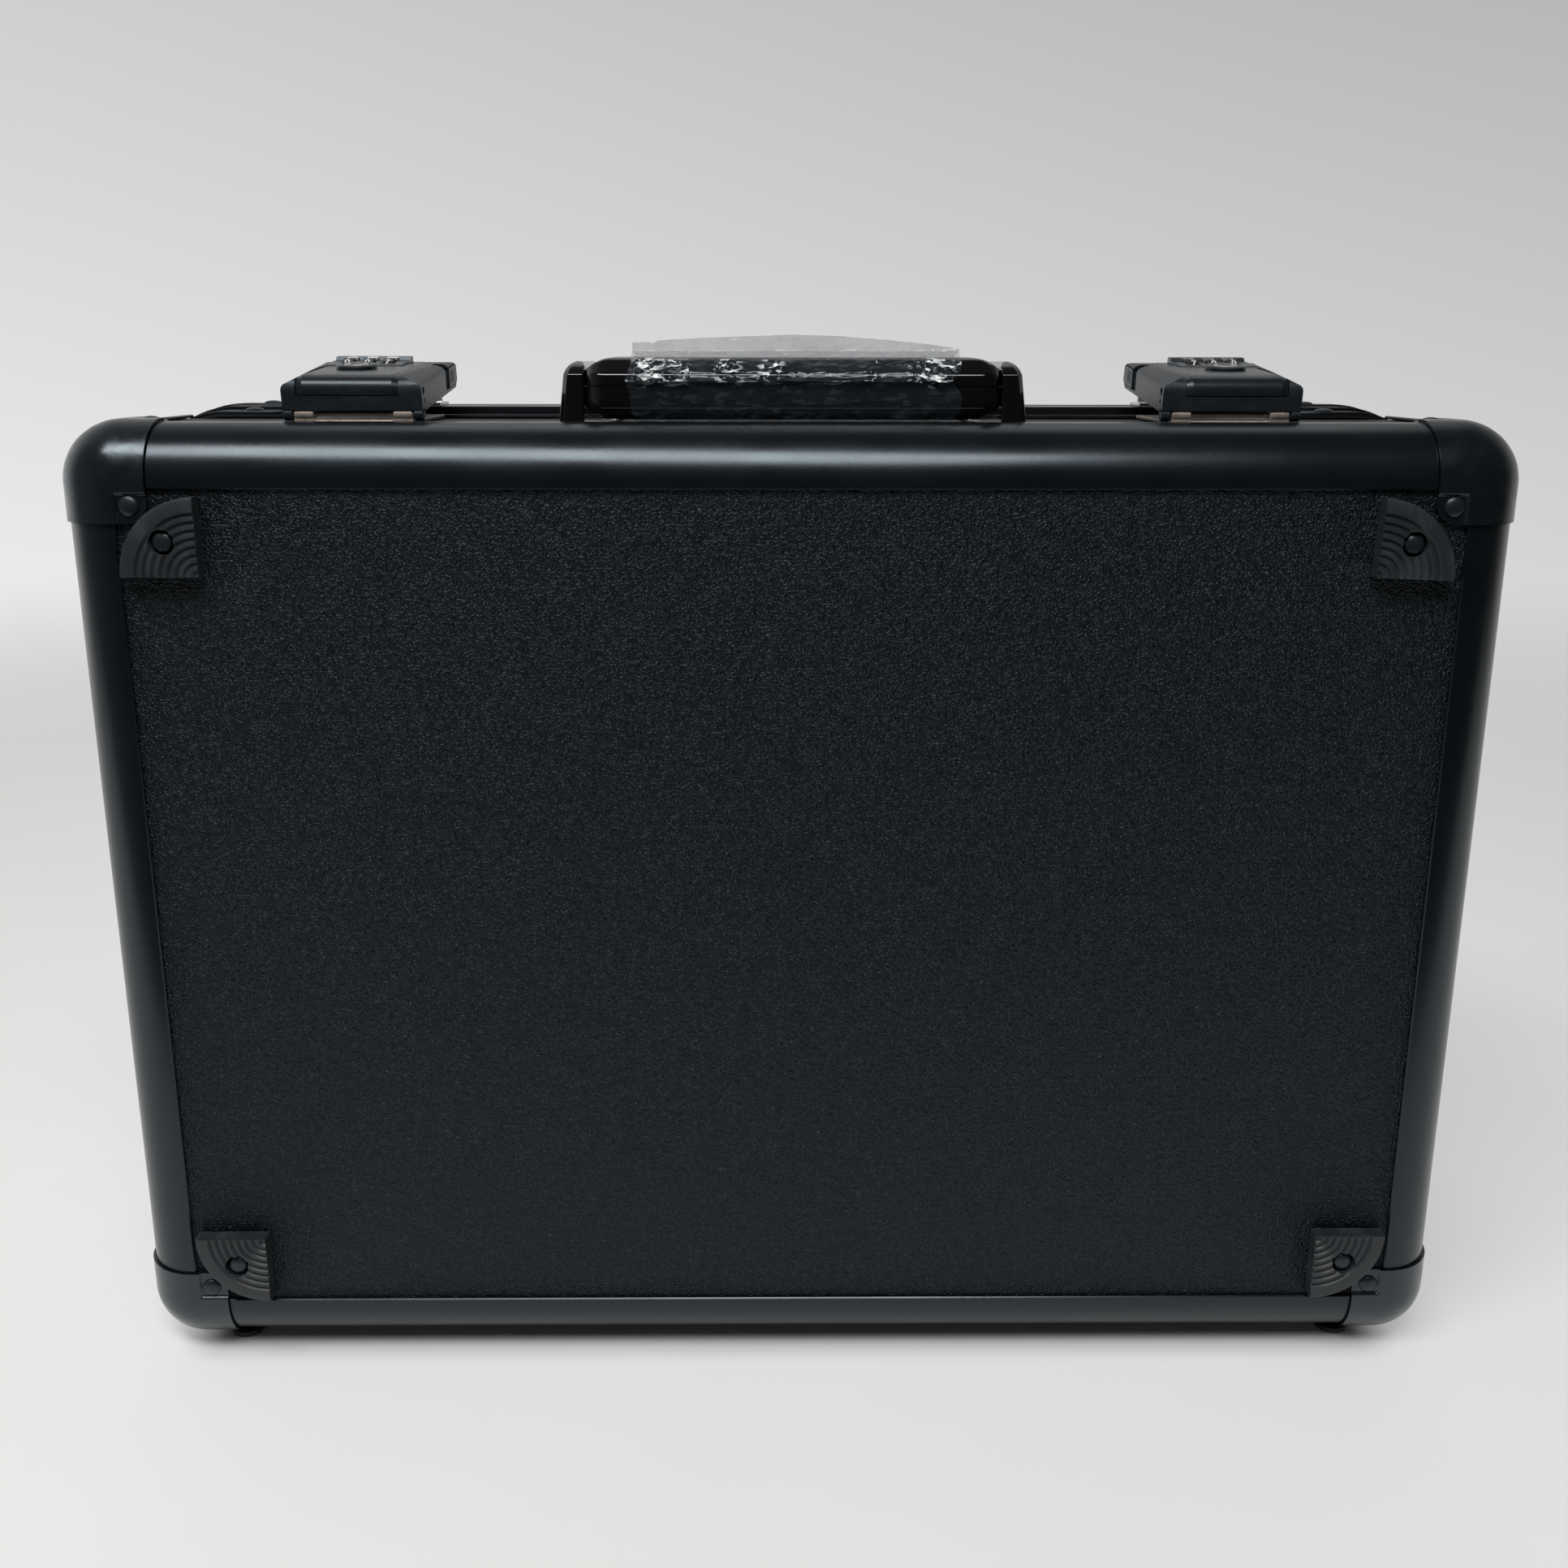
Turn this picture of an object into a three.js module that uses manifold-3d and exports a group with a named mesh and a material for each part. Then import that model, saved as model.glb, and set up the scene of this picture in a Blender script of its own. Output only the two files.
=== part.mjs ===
// Graded card storage case: a framed hard case that stands on its hinge side.
// Millimetres, +Z up, +X to the right, -Y towards the viewer.
// The base shell (with the four quarter-disc feet) faces -Y, the lid shell faces +Y,
// and the handle and the two combination latches are on top.

import * as THREE from 'three';
import { mergeVertices } from 'three/addons/utils/BufferGeometryUtils.js';
import { RoundedBoxGeometry } from 'three/addons/geometries/RoundedBoxGeometry.js';
import Module from 'manifold-3d';

const wasm = await Module();
wasm.setup();

// Driving dimensions of the case
const gap = 0.3;
const caseWidth = 450;
const caseHeight = 316;
const caseDepth = 155;
const standHeight = 3.5;
const lipSink = 1.3;
const lipWidth = 19.3;
const railRound = 18.4;
const sheetThick = 4;
const sheetEdge = 15.4;
const capLength = 29.7;
const capProud = 1.0;
const capSkin = 1.6;
const splitY = 87.5;

// Places worked out from them; y = 0 is the outer skin of the base panel
const halfWidth = caseWidth / 2;
const halfHeight = caseHeight / 2;
const midZ = standHeight + halfHeight;
const topZ = standHeight + caseHeight;
const frontY = -lipSink;
const backY = frontY + caseDepth;
const wallTopZ = topZ - lipSink;
const insideSheet = lipSink + sheetThick;

// Opening frames
const frameRadius = 28.2;
const frameInner = 6.5;
const frameSlot = sheetThick + gap;
const baseFrameStart = 76.3;
const baseFrameEnd = splitY - gap - frontY;
const lidFrameStart = 35.7;
const lidFrameEnd = backY - splitY - gap;
const lidFrameProud = 3.8;

// Quarter-disc feet and the studs that the case stands on
const footRadius = 24;
const footProud = 6;
const footCornerX = 179.3;
const footCornerZ = 112.7;
const footHoleOffset = 10.5;
const footHoleRadius = 3.7;
// The feet were set by hand: two of them sit a little to the left, and one is turned
const footShift = { top_left: -0.8, top_right: -1.8, bottom_left: 0, bottom_right: 0 };
const footTurn = { top_left: 0, top_right: 2.5, bottom_left: 0, bottom_right: 0 };
// The studs reach under the caps' ends, and their necks stand beside the caps
const studInsetX = 29.5;
const studInsetDepth = 16.5;
const studRadius = 5.6;
const studNeckRadius = 2.3;
const studNeckShift = 2.9;
const studNeckStart = 1;

// Foam for three rows of slabs, 136.5 tall and 82.5 wide
const foamTop = 81.3;
const foamFloor = 3.0;
const foamInset = 8.2;
const foamStep = 13.5;
const foamFootInset = 20.6;
const wellLength = 400;
const wellWidth = 84;
const wellPitch = 92;
const lidPadThick = 3.6;

// Continuous hinge under the split
const hingeZ = 3.6;
const hingeLength = 370;
const knuckleRadius = 2.0;
const knuckleCount = 7;
const hingePinRadius = 0.9;
const leafThick = 1.1;
const leafTopZ = 11.2;

// Handle
const bracketInnerX = 65.4;
const bracketOuterX = 73.5;
const bracketFlangeX = 57;
const bracketFlangeThick = 1;
const bracketShoulderX = 71;
const bracketShoulderZ = 333.5;
const bracketCrownX = 68.5;
const bracketEdge = 1.2;
const bracketTopZ = 337.6;
const bracketFrontY = 23;
const bracketFrontLean = 4;
const bracketFrontRound = 11;
const bracketFrontRoundZ = 331;
const bracketBackY = 74.5;
const bracketBackLean = 1;
const bracketBackRound = 11;
const bracketBackRoundZ = 329;
const gripHalfLength = 65;
const gripFlatHalf = 45;
const gripEndDrop = 4;
const gripEndRise = 4;
const gripTopRound = 8;
const gripBottomRound = 6;
const gripEndRound = 9;
const armRadius = 5.5;
const armInnerX = 54;
const gripTopZ = 339.0;
const gripBottomZ = 319.8;
const gripFrontY = 20.3;
const gripBackY = 46;
const handlePivotY = 66;
const handlePivotZ = 328.5;
const handlePinRadius = 2.0;

// Latches, in a frame at the lever's pin: v runs back along the lever, w runs up
const latchX = 137.7;
const latchPinY = 25.5;
const latchPinZ = 321.4;
const latchRestAngle = 7;
const leverHalfWidth = 21.9;
const leverBottom = 0.8;
const leverFront = -1.9;
const leverFrontTop = 12.2;
const leverEnd = 57;
const leverEndTop = 9.6;
const leverSideTop = 8;
const leverChamfer = 5.4;
const leverChamferTop = 11.3;
const bezelHalfWidth = 13;
const hookHalfWidth = 9;
const hookEnd = 69.5;
const pinKnuckleRadius = 1.9;
const knuckleStart = 12.4;
const knuckleEnd = 18.6;
const earStart = 18.9;
const earRadius = 2.1;
const leverPinRadius = 0.8;
const leverPinEnd = 21.6;
const dialRadius = 5.4;
const dialWidth = 3.8;
const dialPitch = 6.7;
const dialBack = 41;
const dialHeight = 6.6;
const dialShift = -4;
const axleRadius = 1.1;
const keyBack = 24;
const bossRadius = 6.4;
const plugRadius = 4.1;
const plugBottom = 5.4;
const plugTop = 13.3;
const keySlotHalfLength = 2.4;
const keySlotHalfWidth = 0.6;
const keySlotDepth = 2.5;
const buttonStart = 42.6;
const buttonEnd = 53;
const buttonTravel = 4;
const buttonInner = 17.9;
const buttonProud = 0.2;
const buttonBottom = 2.9;
const buttonTop = 7.4;
const plateStart = -1.5;
const plateEnd = 48.5;
const plateThick = 1.2;
const strikeHalfWidth = 14.2;
const strikeStartY = 88.4;
const strikeEndY = 104;
const strikeThick = 1;
const strikeLipY = 92;
const strikeLipThick = 1.2;
const strikeLipTop = 326.1;

const bboxMinY = -footProud;
const bboxMaxY = backY + capProud;
const originY = (bboxMinY + bboxMaxY) / 2;

// Finishes
const finish = (color, roughness, metalness = 0) => ({ color, roughness, metalness });
const satinRail = finish(0x0b0c0e, 0.34, 0.25);
const pebbleSheet = finish(0x101113, 0.62);
const cornerSteel = finish(0x0d0e10, 0.3, 0.3);
const frameBlack = finish(0x08090a, 0.3, 0.35);
const footRubber = finish(0x1b1c1d, 0.7);
const studRubber = finish(0x0a0a0a, 0.75);
const foamBlack = finish(0x151516, 0.95);
const hingeSteel = finish(0x15161a, 0.4, 0.6);
const glossHandle = finish(0x050506, 0.12);
const latchBody = finish(0x111213, 0.5);
const bronzePlate = finish(0x4a4038, 0.45, 0.8);
const dialBlack = finish(0x0c0c0c, 0.35);
const plugSteel = finish(0x9a9a98, 0.3, 0.9);
const strikeSteel = finish(0xb8bab8, 0.35, 0.9);

const root = new THREE.Group();
const caseGroup = new THREE.Group();
caseGroup.position.set(0, -originY, 0);
root.add(caseGroup);

// Geometry helpers

// Leaves only merged positions, so that a closed mesh stays closed.
function bare(geometry) {
  const copy = geometry.clone();
  copy.deleteAttribute('normal');
  copy.deleteAttribute('uv');
  return mergeVertices(copy, 1e-4);
}

function signedVolume(geometry) {
  const position = geometry.attributes.position;
  const index = geometry.index;
  const a = new THREE.Vector3();
  const b = new THREE.Vector3();
  const c = new THREE.Vector3();
  let sum = 0;
  for (let i = 0; i < index.count; i += 3) {
    a.fromBufferAttribute(position, index.getX(i));
    b.fromBufferAttribute(position, index.getX(i + 1));
    c.fromBufferAttribute(position, index.getX(i + 2));
    sum += a.dot(b.cross(c)) / 6;
  }
  return sum;
}

// Turns the faces outward after a mirrored placement.
function outward(geometry) {
  const closed = bare(geometry);
  if (signedVolume(closed) > 0) return closed;
  const old = closed.index.array;
  const turned = [];
  for (let i = 0; i < old.length; i += 3) turned.push(old[i], old[i + 2], old[i + 1]);
  closed.setIndex(turned);
  return closed;
}

function toSolid(geometry) {
  const closed = outward(geometry);
  const vertProperties = new Float32Array(closed.attributes.position.array);
  const triVerts = new Uint32Array(closed.index.array);
  return new wasm.Manifold(new wasm.Mesh({ numProp: 3, vertProperties, triVerts }));
}

function toGeometry(solid) {
  const mesh = solid.getMesh();
  const geometry = new THREE.BufferGeometry();
  geometry.setAttribute('position', new THREE.BufferAttribute(mesh.vertProperties.slice(), 3));
  geometry.setIndex(new THREE.BufferAttribute(mesh.triVerts.slice(), 1));
  return geometry;
}

function addPart(group, name, shape, look) {
  const geometry = shape.isBufferGeometry ? outward(shape) : toGeometry(shape);
  geometry.computeVertexNormals();
  const mesh = new THREE.Mesh(geometry, new THREE.MeshStandardMaterial(look));
  mesh.name = name;
  group.add(mesh);
  return mesh;
}

const axisX = new THREE.Vector3(1, 0, 0);
const axisY = new THREE.Vector3(0, 1, 0);
const axisZ = new THREE.Vector3(0, 0, 1);
const turned = (axis, sign) => axis.clone().multiplyScalar(sign);

// Puts a shape drawn in (u, v) and drawn out along w at an origin with three axes.
function drawOut(shape, length, origin, uAxis, vAxis, wAxis, curveSegments = 6) {
  const options = { depth: length, bevelEnabled: false, curveSegments };
  const geometry = new THREE.ExtrudeGeometry(shape, options);
  const place = new THREE.Matrix4().makeBasis(uAxis, vAxis, wAxis).setPosition(origin);
  return geometry.applyMatrix4(place);
}

function outline(points) {
  return new THREE.Shape(points.map(([u, v]) => new THREE.Vector2(u, v)));
}

function block(x0, x1, y0, y1, z0, z1) {
  const geometry = new THREE.BoxGeometry(x1 - x0, y1 - y0, z1 - z0);
  geometry.translate((x0 + x1) / 2, (y0 + y1) / 2, (z0 + z1) / 2);
  return geometry;
}

const solidBlock = (...sides) => toSolid(block(...sides));

// A rod along X between x0 and x1 at (y, z).
function rodX(radius, x0, x1, y, z, sides = 12) {
  const geometry = new THREE.CylinderGeometry(radius, radius, x1 - x0, sides);
  geometry.rotateZ(Math.PI / 2);
  geometry.translate((x0 + x1) / 2, y, z);
  return geometry;
}

// A rod along Z between z0 and z1 at (x, y).
function rodZ(radius, z0, z1, x, y, sides = 16) {
  const geometry = new THREE.CylinderGeometry(radius, radius, z1 - z0, sides);
  geometry.rotateX(Math.PI / 2);
  geometry.translate(x, y, (z0 + z1) / 2);
  return geometry;
}

function roundedRectangle(halfU, halfV, radius) {
  const shape = new THREE.Shape();
  shape.moveTo(halfU, -halfV + radius);
  shape.lineTo(halfU, halfV - radius);
  shape.absarc(halfU - radius, halfV - radius, radius, 0, Math.PI / 2, false);
  shape.absarc(-halfU + radius, halfV - radius, radius, Math.PI / 2, Math.PI, false);
  shape.absarc(-halfU + radius, -halfV + radius, radius, Math.PI, Math.PI * 1.5, false);
  shape.absarc(halfU - radius, -halfV + radius, radius, Math.PI * 1.5, Math.PI * 2, false);
  return shape;
}

// Shells. Depth d runs inward from a shell's outer face: +Y in the base, -Y in the lid.

const baseShell = { side: 'base', inward: 1, faceY: frontY };
const lidShell = { side: 'lid', inward: -1, faceY: backY };

const depthY = (shell, d) => shell.faceY + shell.inward * d;

function shellBlock(shell, x0, x1, d0, d1, z0, z1) {
  const ys = [depthY(shell, d0), depthY(shell, d1)];
  return solidBlock(x0, x1, Math.min(...ys), Math.max(...ys), z0, z1);
}

// An outline in (x, z) about the middle of the case, drawn out over a range of depth.
function shellLayer(shell, shape, d0, d1, curveSegments = 6) {
  const origin = new THREE.Vector3(0, depthY(shell, d0), midZ);
  return drawOut(shape, d1 - d0, origin, axisX, axisZ, turned(axisY, shell.inward), curveSegments);
}

// Section of the edge extrusion: a and b run inward from its two outer faces.
function railSection() {
  const lipThick = 1.0;
  const slotBack = sheetEdge - gap;
  const flangeOuter = insideSheet + gap;
  const flangeInner = flangeOuter + 1.2;
  const flangeEnd = lipWidth + 0.7;
  const web = 14;
  const shape = new THREE.Shape();
  shape.moveTo(lipWidth, lipThick);
  shape.lineTo(lipWidth, 0);
  shape.lineTo(railRound, 0);
  shape.absarc(railRound, railRound, railRound, -Math.PI / 2, -Math.PI, true);
  shape.lineTo(0, lipWidth);
  shape.lineTo(lipThick, lipWidth);
  shape.lineTo(lipThick, slotBack);
  shape.lineTo(flangeOuter, slotBack);
  shape.lineTo(flangeOuter, flangeEnd);
  shape.lineTo(flangeInner, flangeEnd);
  shape.lineTo(flangeInner, web);
  shape.lineTo(web, flangeInner);
  shape.lineTo(flangeEnd, flangeInner);
  shape.lineTo(flangeEnd, flangeOuter);
  shape.lineTo(slotBack, flangeOuter);
  shape.lineTo(slotBack, lipThick);
  return shape;
}

function addRails(group, shell) {
  const start = capLength + gap;
  const inward = turned(axisY, shell.inward);
  const section = railSection();
  for (const [label, sign] of [['top', 1], ['bottom', -1]]) {
    const origin = new THREE.Vector3(-halfWidth + start, shell.faceY, midZ + sign * halfHeight);
    const rail = drawOut(section, caseWidth - 2 * start, origin, turned(axisZ, -sign), inward, axisX);
    addPart(group, `${shell.side}_rail_${label}`, rail, satinRail);
  }
  for (const [label, sign] of [['left', -1], ['right', 1]]) {
    const origin = new THREE.Vector3(sign * halfWidth, shell.faceY, standHeight + start);
    const rail = drawOut(section, caseHeight - 2 * start, origin, turned(axisX, -sign), inward, axisZ);
    addPart(group, `${shell.side}_rail_${label}`, rail, satinRail);
  }
}

const corners = [
  ['top_left', -1, 1],
  ['top_right', 1, 1],
  ['bottom_left', -1, -1],
  ['bottom_right', 1, -1],
];

// Corner posts run back from the caps to the opening frame, where two walls meet.
function addPosts(group, shell, length) {
  for (const [label, sx, sz] of corners) {
    const d0 = capLength + gap;
    const origin = new THREE.Vector3(sx * halfWidth, depthY(shell, d0), midZ + sz * halfHeight);
    const inward = turned(axisY, shell.inward);
    const post = drawOut(railSection(), length, origin, turned(axisX, -sx), turned(axisZ, -sz), inward);
    addPart(group, `${shell.side}_post_${label}`, post, satinRail);
  }
}

// One corner cap, drawn with its three outer faces at a = b = c = 0: a thin ball corner
// with a lowered tab on each face, where its rivet goes through the sheet.
function capSolid() {
  const size = 120;
  const outerRadius = railRound + capProud;
  const outerBall = new RoundedBoxGeometry(size, size, size, 3, outerRadius);
  outerBall.translate(size / 2 - capProud, size / 2 - capProud, size / 2 - capProud);
  const skinInner = capSkin - capProud;
  const innerBall = new RoundedBoxGeometry(size, size, size, 3, outerRadius - capSkin);
  innerBall.translate(size / 2 + skinInner, size / 2 + skinInner, size / 2 + skinInner);
  const reach = [-5, capLength, -5, capLength, -5, capLength];
  let cap = toSolid(outerBall).intersect(solidBlock(...reach)).subtract(toSolid(innerBall));
  const tabStart = lipWidth + capProud;
  const tabTop = -0.1;
  const far = capLength + 5;
  cap = cap.subtract(solidBlock(tabStart, far, -9, tabTop, tabStart, far));
  cap = cap.subtract(solidBlock(-9, tabTop, tabStart, far, tabStart, far));
  cap = cap.subtract(solidBlock(tabStart, far, tabStart, far, -9, tabTop));
  return cap;
}

// Rounds the free corner of each tab, in the plane of two of the cap's axes.
function tabRounding(uAxis, vAxis, wAxis) {
  const radius = 6.5;
  const end = capLength + 0.1;
  const centre = end - radius;
  const shape = new THREE.Shape();
  shape.moveTo(end, end);
  shape.lineTo(end, centre);
  shape.absarc(centre, centre, radius, 0, Math.PI / 2, false);
  const origin = turned(wAxis, -2);
  return toSolid(drawOut(shape, 4, origin, uAxis, vAxis, wAxis, 4));
}

function addCaps(group, shell) {
  let cap = capSolid();
  cap = cap.subtract(tabRounding(axisX, axisZ, axisY));
  cap = cap.subtract(tabRounding(axisY, axisZ, axisX));
  cap = cap.subtract(tabRounding(axisX, axisY, axisZ));
  for (const [label, sx, sz] of corners) {
    const place = new THREE.Matrix4().makeBasis(
      turned(axisX, -sx), turned(axisY, shell.inward), turned(axisZ, -sz));
    place.setPosition(sx * halfWidth, shell.faceY, midZ + sz * halfHeight);
    const geometry = toGeometry(cap).applyMatrix4(place);
    addPart(group, `${shell.side}_corner_cap_${label}`, geometry, cornerSteel);
  }
}

// The large sheet of a shell, with its corners cut to clear the caps.
function addPanel(group, shell, name) {
  const u = halfWidth - sheetEdge;
  const v = halfHeight - sheetEdge;
  const cut = 6;
  const shape = outline([
    [-u, -v + cut], [-u + cut, -v], [u - cut, -v], [u, -v + cut],
    [u, v - cut], [u - cut, v], [-u + cut, v], [-u, v - cut],
  ]);
  addPart(group, name, shellLayer(shell, shape, lipSink, insideSheet), pebbleSheet);
}

// A wall sheet in (along, d): its front corners are cut, and its back edge is narrower
// where it enters the opening frame, whose corners are rounder.
function wallOutline(halfLength, halfTongue, wallEnd, frameStart) {
  const cut = 6;
  return outline([
    [-halfLength, sheetEdge + cut], [-halfLength + cut, sheetEdge],
    [halfLength - cut, sheetEdge], [halfLength, sheetEdge + cut],
    [halfLength, frameStart], [halfTongue, frameStart],
    [halfTongue, wallEnd], [-halfTongue, wallEnd],
    [-halfTongue, frameStart], [-halfLength, frameStart],
  ]);
}

const tongueX = halfWidth - lipSink - frameRadius - 1;
const tongueZ = halfHeight - lipSink - frameRadius - 1;

function addBaseWalls(group) {
  const wallEnd = baseFrameEnd - 4.5;
  const frameStart = baseFrameStart - gap;
  const wide = wallOutline(halfWidth - sheetEdge, tongueX, wallEnd, frameStart);
  const tall = wallOutline(halfHeight - sheetEdge, tongueZ, wallEnd, frameStart);
  for (const [label, sign] of [['top', 1], ['bottom', -1]]) {
    const origin = new THREE.Vector3(0, frontY, midZ + sign * (halfHeight - lipSink));
    const wall = drawOut(wide, sheetThick, origin, axisX, axisY, turned(axisZ, -sign));
    addPart(group, `base_wall_${label}`, wall, pebbleSheet);
  }
  for (const [label, sign] of [['left', -1], ['right', 1]]) {
    const origin = new THREE.Vector3(sign * (halfWidth - lipSink), frontY, midZ);
    const wall = drawOut(tall, sheetThick, origin, axisZ, axisY, turned(axisX, -sign));
    addPart(group, `base_wall_${label}`, wall, pebbleSheet);
  }
}

// The lid is shallow, so one bent sheet makes its four walls. Short corner posts show
// between the caps and the frame, and four tongues enter the frame.
function addLidWalls(group) {
  const bandStart = sheetEdge + 2.1;
  const frameStart = lidFrameStart - gap;
  const wallEnd = lidFrameEnd - 4.5;
  const ring = roundedRectangle(halfWidth - lipSink, halfHeight - lipSink, railRound - lipSink);
  const innerU = halfWidth - insideSheet;
  const innerV = halfHeight - insideSheet;
  ring.holes.push(roundedRectangle(innerU, innerV, railRound - insideSheet));
  let band = toSolid(shellLayer(lidShell, ring, bandStart, frameStart, 5));
  for (const sz of [-1, 1]) {
    const z = [midZ + sz * (halfHeight - lipSink), midZ + sz * innerV].sort((p, q) => p - q);
    band = band.add(shellBlock(lidShell, -tongueX, tongueX, frameStart - 1, wallEnd, ...z));
  }
  for (const sx of [-1, 1]) {
    const x = [sx * (halfWidth - lipSink), sx * innerU].sort((p, q) => p - q);
    const z = [midZ - tongueZ, midZ + tongueZ];
    band = band.add(shellBlock(lidShell, ...x, frameStart - 1, wallEnd, ...z));
  }
  const angle = new THREE.Shape();
  angle.moveTo(lipWidth, 2);
  angle.lineTo(lipWidth, 0);
  angle.lineTo(railRound, 0);
  angle.absarc(railRound, railRound, railRound, -Math.PI / 2, -Math.PI, true);
  angle.lineTo(0, lipWidth);
  angle.lineTo(2, lipWidth);
  angle.lineTo(2, railRound);
  angle.absarc(railRound, railRound, railRound - 2, -Math.PI, -Math.PI / 2, false);
  const d0 = capLength + gap;
  for (const [, sx, sz] of corners) {
    const origin = new THREE.Vector3(sx * halfWidth, depthY(lidShell, d0), midZ + sz * halfHeight);
    const uAxis = turned(axisX, -sx);
    const vAxis = turned(axisZ, -sz);
    const inward = turned(axisY, lidShell.inward);
    band = band.add(toSolid(drawOut(angle, frameStart - d0, origin, uAxis, vAxis, inward)));
  }
  addPart(group, 'lid_wall_band', band, pebbleSheet);
}

// A frame swept round the opening. Its section is in (d, v), with v outward from the
// wall's skin, where the corners have the radius frameRadius.
function sweptFrame(shell, section) {
  const steps = 7;
  const u = halfWidth - lipSink - frameRadius;
  const v = halfHeight - lipSink - frameRadius;
  const centres = [[u, v], [-u, v], [-u, -v], [u, -v]];
  const positions = [];
  const indices = [];
  centres.forEach(([cx, cz], corner) => {
    for (let step = 0; step <= steps; step += 1) {
      const angle = (corner + step / steps) * Math.PI / 2;
      for (const [d, out] of section) {
        const radius = frameRadius + out;
        const x = cx + radius * Math.cos(angle);
        const z = midZ + cz + radius * Math.sin(angle);
        positions.push(x, depthY(shell, d), z);
      }
    }
  });
  const ringCount = centres.length * (steps + 1);
  const n = section.length;
  for (let ring = 0; ring < ringCount; ring += 1) {
    const next = (ring + 1) % ringCount;
    for (let i = 0; i < n; i += 1) {
      const j = (i + 1) % n;
      indices.push(ring * n + i, next * n + i, next * n + j);
      indices.push(ring * n + i, next * n + j, ring * n + j);
    }
  }
  const geometry = new THREE.BufferGeometry();
  geometry.setAttribute('position', new THREE.Float32BufferAttribute(positions, 3));
  geometry.setIndex(indices);
  return toSolid(geometry);
}

const hingeHalf = hingeLength / 2;
const hingeSeatTopZ = hingeZ + knuckleRadius + 0.6;
const hingeSeatDepth = 2.6;
const leafSeat = gap + leafThick + gap;

// Cuts the seat of the hinge's knuckles and leaf into a frame; side is -1 or 1 in Y.
function cutHingeSeat(frame, side) {
  const x = hingeHalf + gap;
  const knuckleY = [splitY, splitY + side * hingeSeatDepth].sort((p, q) => p - q);
  const leafY = [splitY, splitY + side * leafSeat].sort((p, q) => p - q);
  const seat = solidBlock(-x, x, ...knuckleY, -2, hingeSeatTopZ);
  const leafRoom = solidBlock(-x, x, ...leafY, hingeSeatTopZ - 1, leafTopZ + 1);
  return frame.subtract(seat).subtract(leafRoom);
}

function addFrames(base, lid) {
  const flange = 4;
  const baseSection = [
    [baseFrameStart, gap], [baseFrameStart, lipSink],
    [baseFrameEnd, lipSink], [baseFrameEnd, -frameInner],
    [baseFrameEnd - 2 * flange, -frameInner], [baseFrameEnd - 2 * flange, -frameSlot],
    [baseFrameEnd - flange, -frameSlot], [baseFrameEnd - flange, gap],
  ];
  const lidSection = [
    [lidFrameStart, gap], [lidFrameStart, lidFrameProud],
    [lidFrameEnd, lidFrameProud], [lidFrameEnd, -frameInner],
    [lidFrameEnd - 2 * flange, -frameInner], [lidFrameEnd - 2 * flange, -frameSlot],
    [lidFrameEnd - flange, -frameSlot], [lidFrameEnd - flange, gap],
  ];
  const baseFrame = cutHingeSeat(sweptFrame(baseShell, baseSection), -1);
  const lidFrame = cutHingeSeat(sweptFrame(lidShell, lidSection), 1);
  addPart(base, 'base_frame', baseFrame, frameBlack);
  addPart(lid, 'lid_frame', lidFrame, frameBlack);
}

// Feet

function quarterDisc() {
  const shape = new THREE.Shape();
  shape.moveTo(0, 0);
  shape.lineTo(footRadius, 0);
  shape.absarc(0, 0, footRadius, 0, Math.PI / 2, false);
  shape.lineTo(0, 0);
  const hole = new THREE.Path();
  hole.absarc(footHoleOffset, footHoleOffset, footHoleRadius, 0, Math.PI * 2, false);
  shape.holes.push(hole);
  return shape;
}

function addQuarterFeet(group) {
  for (const [label, sx, sz] of corners) {
    const x = sx * footCornerX + footShift[label];
    const origin = new THREE.Vector3(x, -footProud, midZ + sz * footCornerZ);
    const turn = THREE.MathUtils.degToRad(footTurn[label]);
    const uAxis = turned(axisX, sx).applyAxisAngle(axisY, turn);
    const vAxis = turned(axisZ, sz).applyAxisAngle(axisY, turn);
    const foot = drawOut(quarterDisc(), footProud - gap, origin, uAxis, vAxis, axisY, 8);
    addPart(group, `panel_foot_${label}`, foot, footRubber);
  }
}

function addStuds(group, shell) {
  const y = depthY(shell, studInsetDepth);
  for (const [label, sx] of [['left', -1], ['right', 1]]) {
    const x = sx * (halfWidth - studInsetX);
    const neckX = sx * (halfWidth - studInsetX - studNeckShift);
    const tread = toSolid(rodZ(studRadius, 0, standHeight - capProud - gap, x, y));
    const neck = toSolid(rodZ(studNeckRadius, studNeckStart, standHeight - gap, neckX, y));
    const stud = tread.add(neck);
    addPart(group, `${shell.side}_stand_foot_${label}`, stud, studRubber);
  }
}

// Foam

function addFoam(base, lid) {
  const upper = roundedRectangle(halfWidth - foamInset, halfHeight - foamInset, 24);
  const lower = roundedRectangle(halfWidth - foamFootInset, halfHeight - foamFootInset, 10);
  const foamStart = insideSheet + gap;
  let foam = toSolid(shellLayer(baseShell, upper, foamStep, foamTop, 4));
  foam = foam.add(toSolid(shellLayer(baseShell, lower, foamStart, foamStep + 0.5, 3)));
  const halfLength = wellLength / 2;
  for (const row of [-1, 0, 1]) {
    const z = midZ + row * wellPitch;
    const room = [z - wellWidth / 2, z + wellWidth / 2];
    const depth = [foamStart + foamFloor, foamTop + 5];
    const well = shellBlock(baseShell, -halfLength, halfLength, ...depth, ...room);
    foam = foam.subtract(well);
  }
  addPart(base, 'slab_foam_insert', foam, foamBlack);
  const pad = shellLayer(lidShell, lower, foamStart, foamStart + lidPadThick, 3);
  addPart(lid, 'lid_foam_pad', pad, foamBlack);
}

// Continuous hinge

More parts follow.
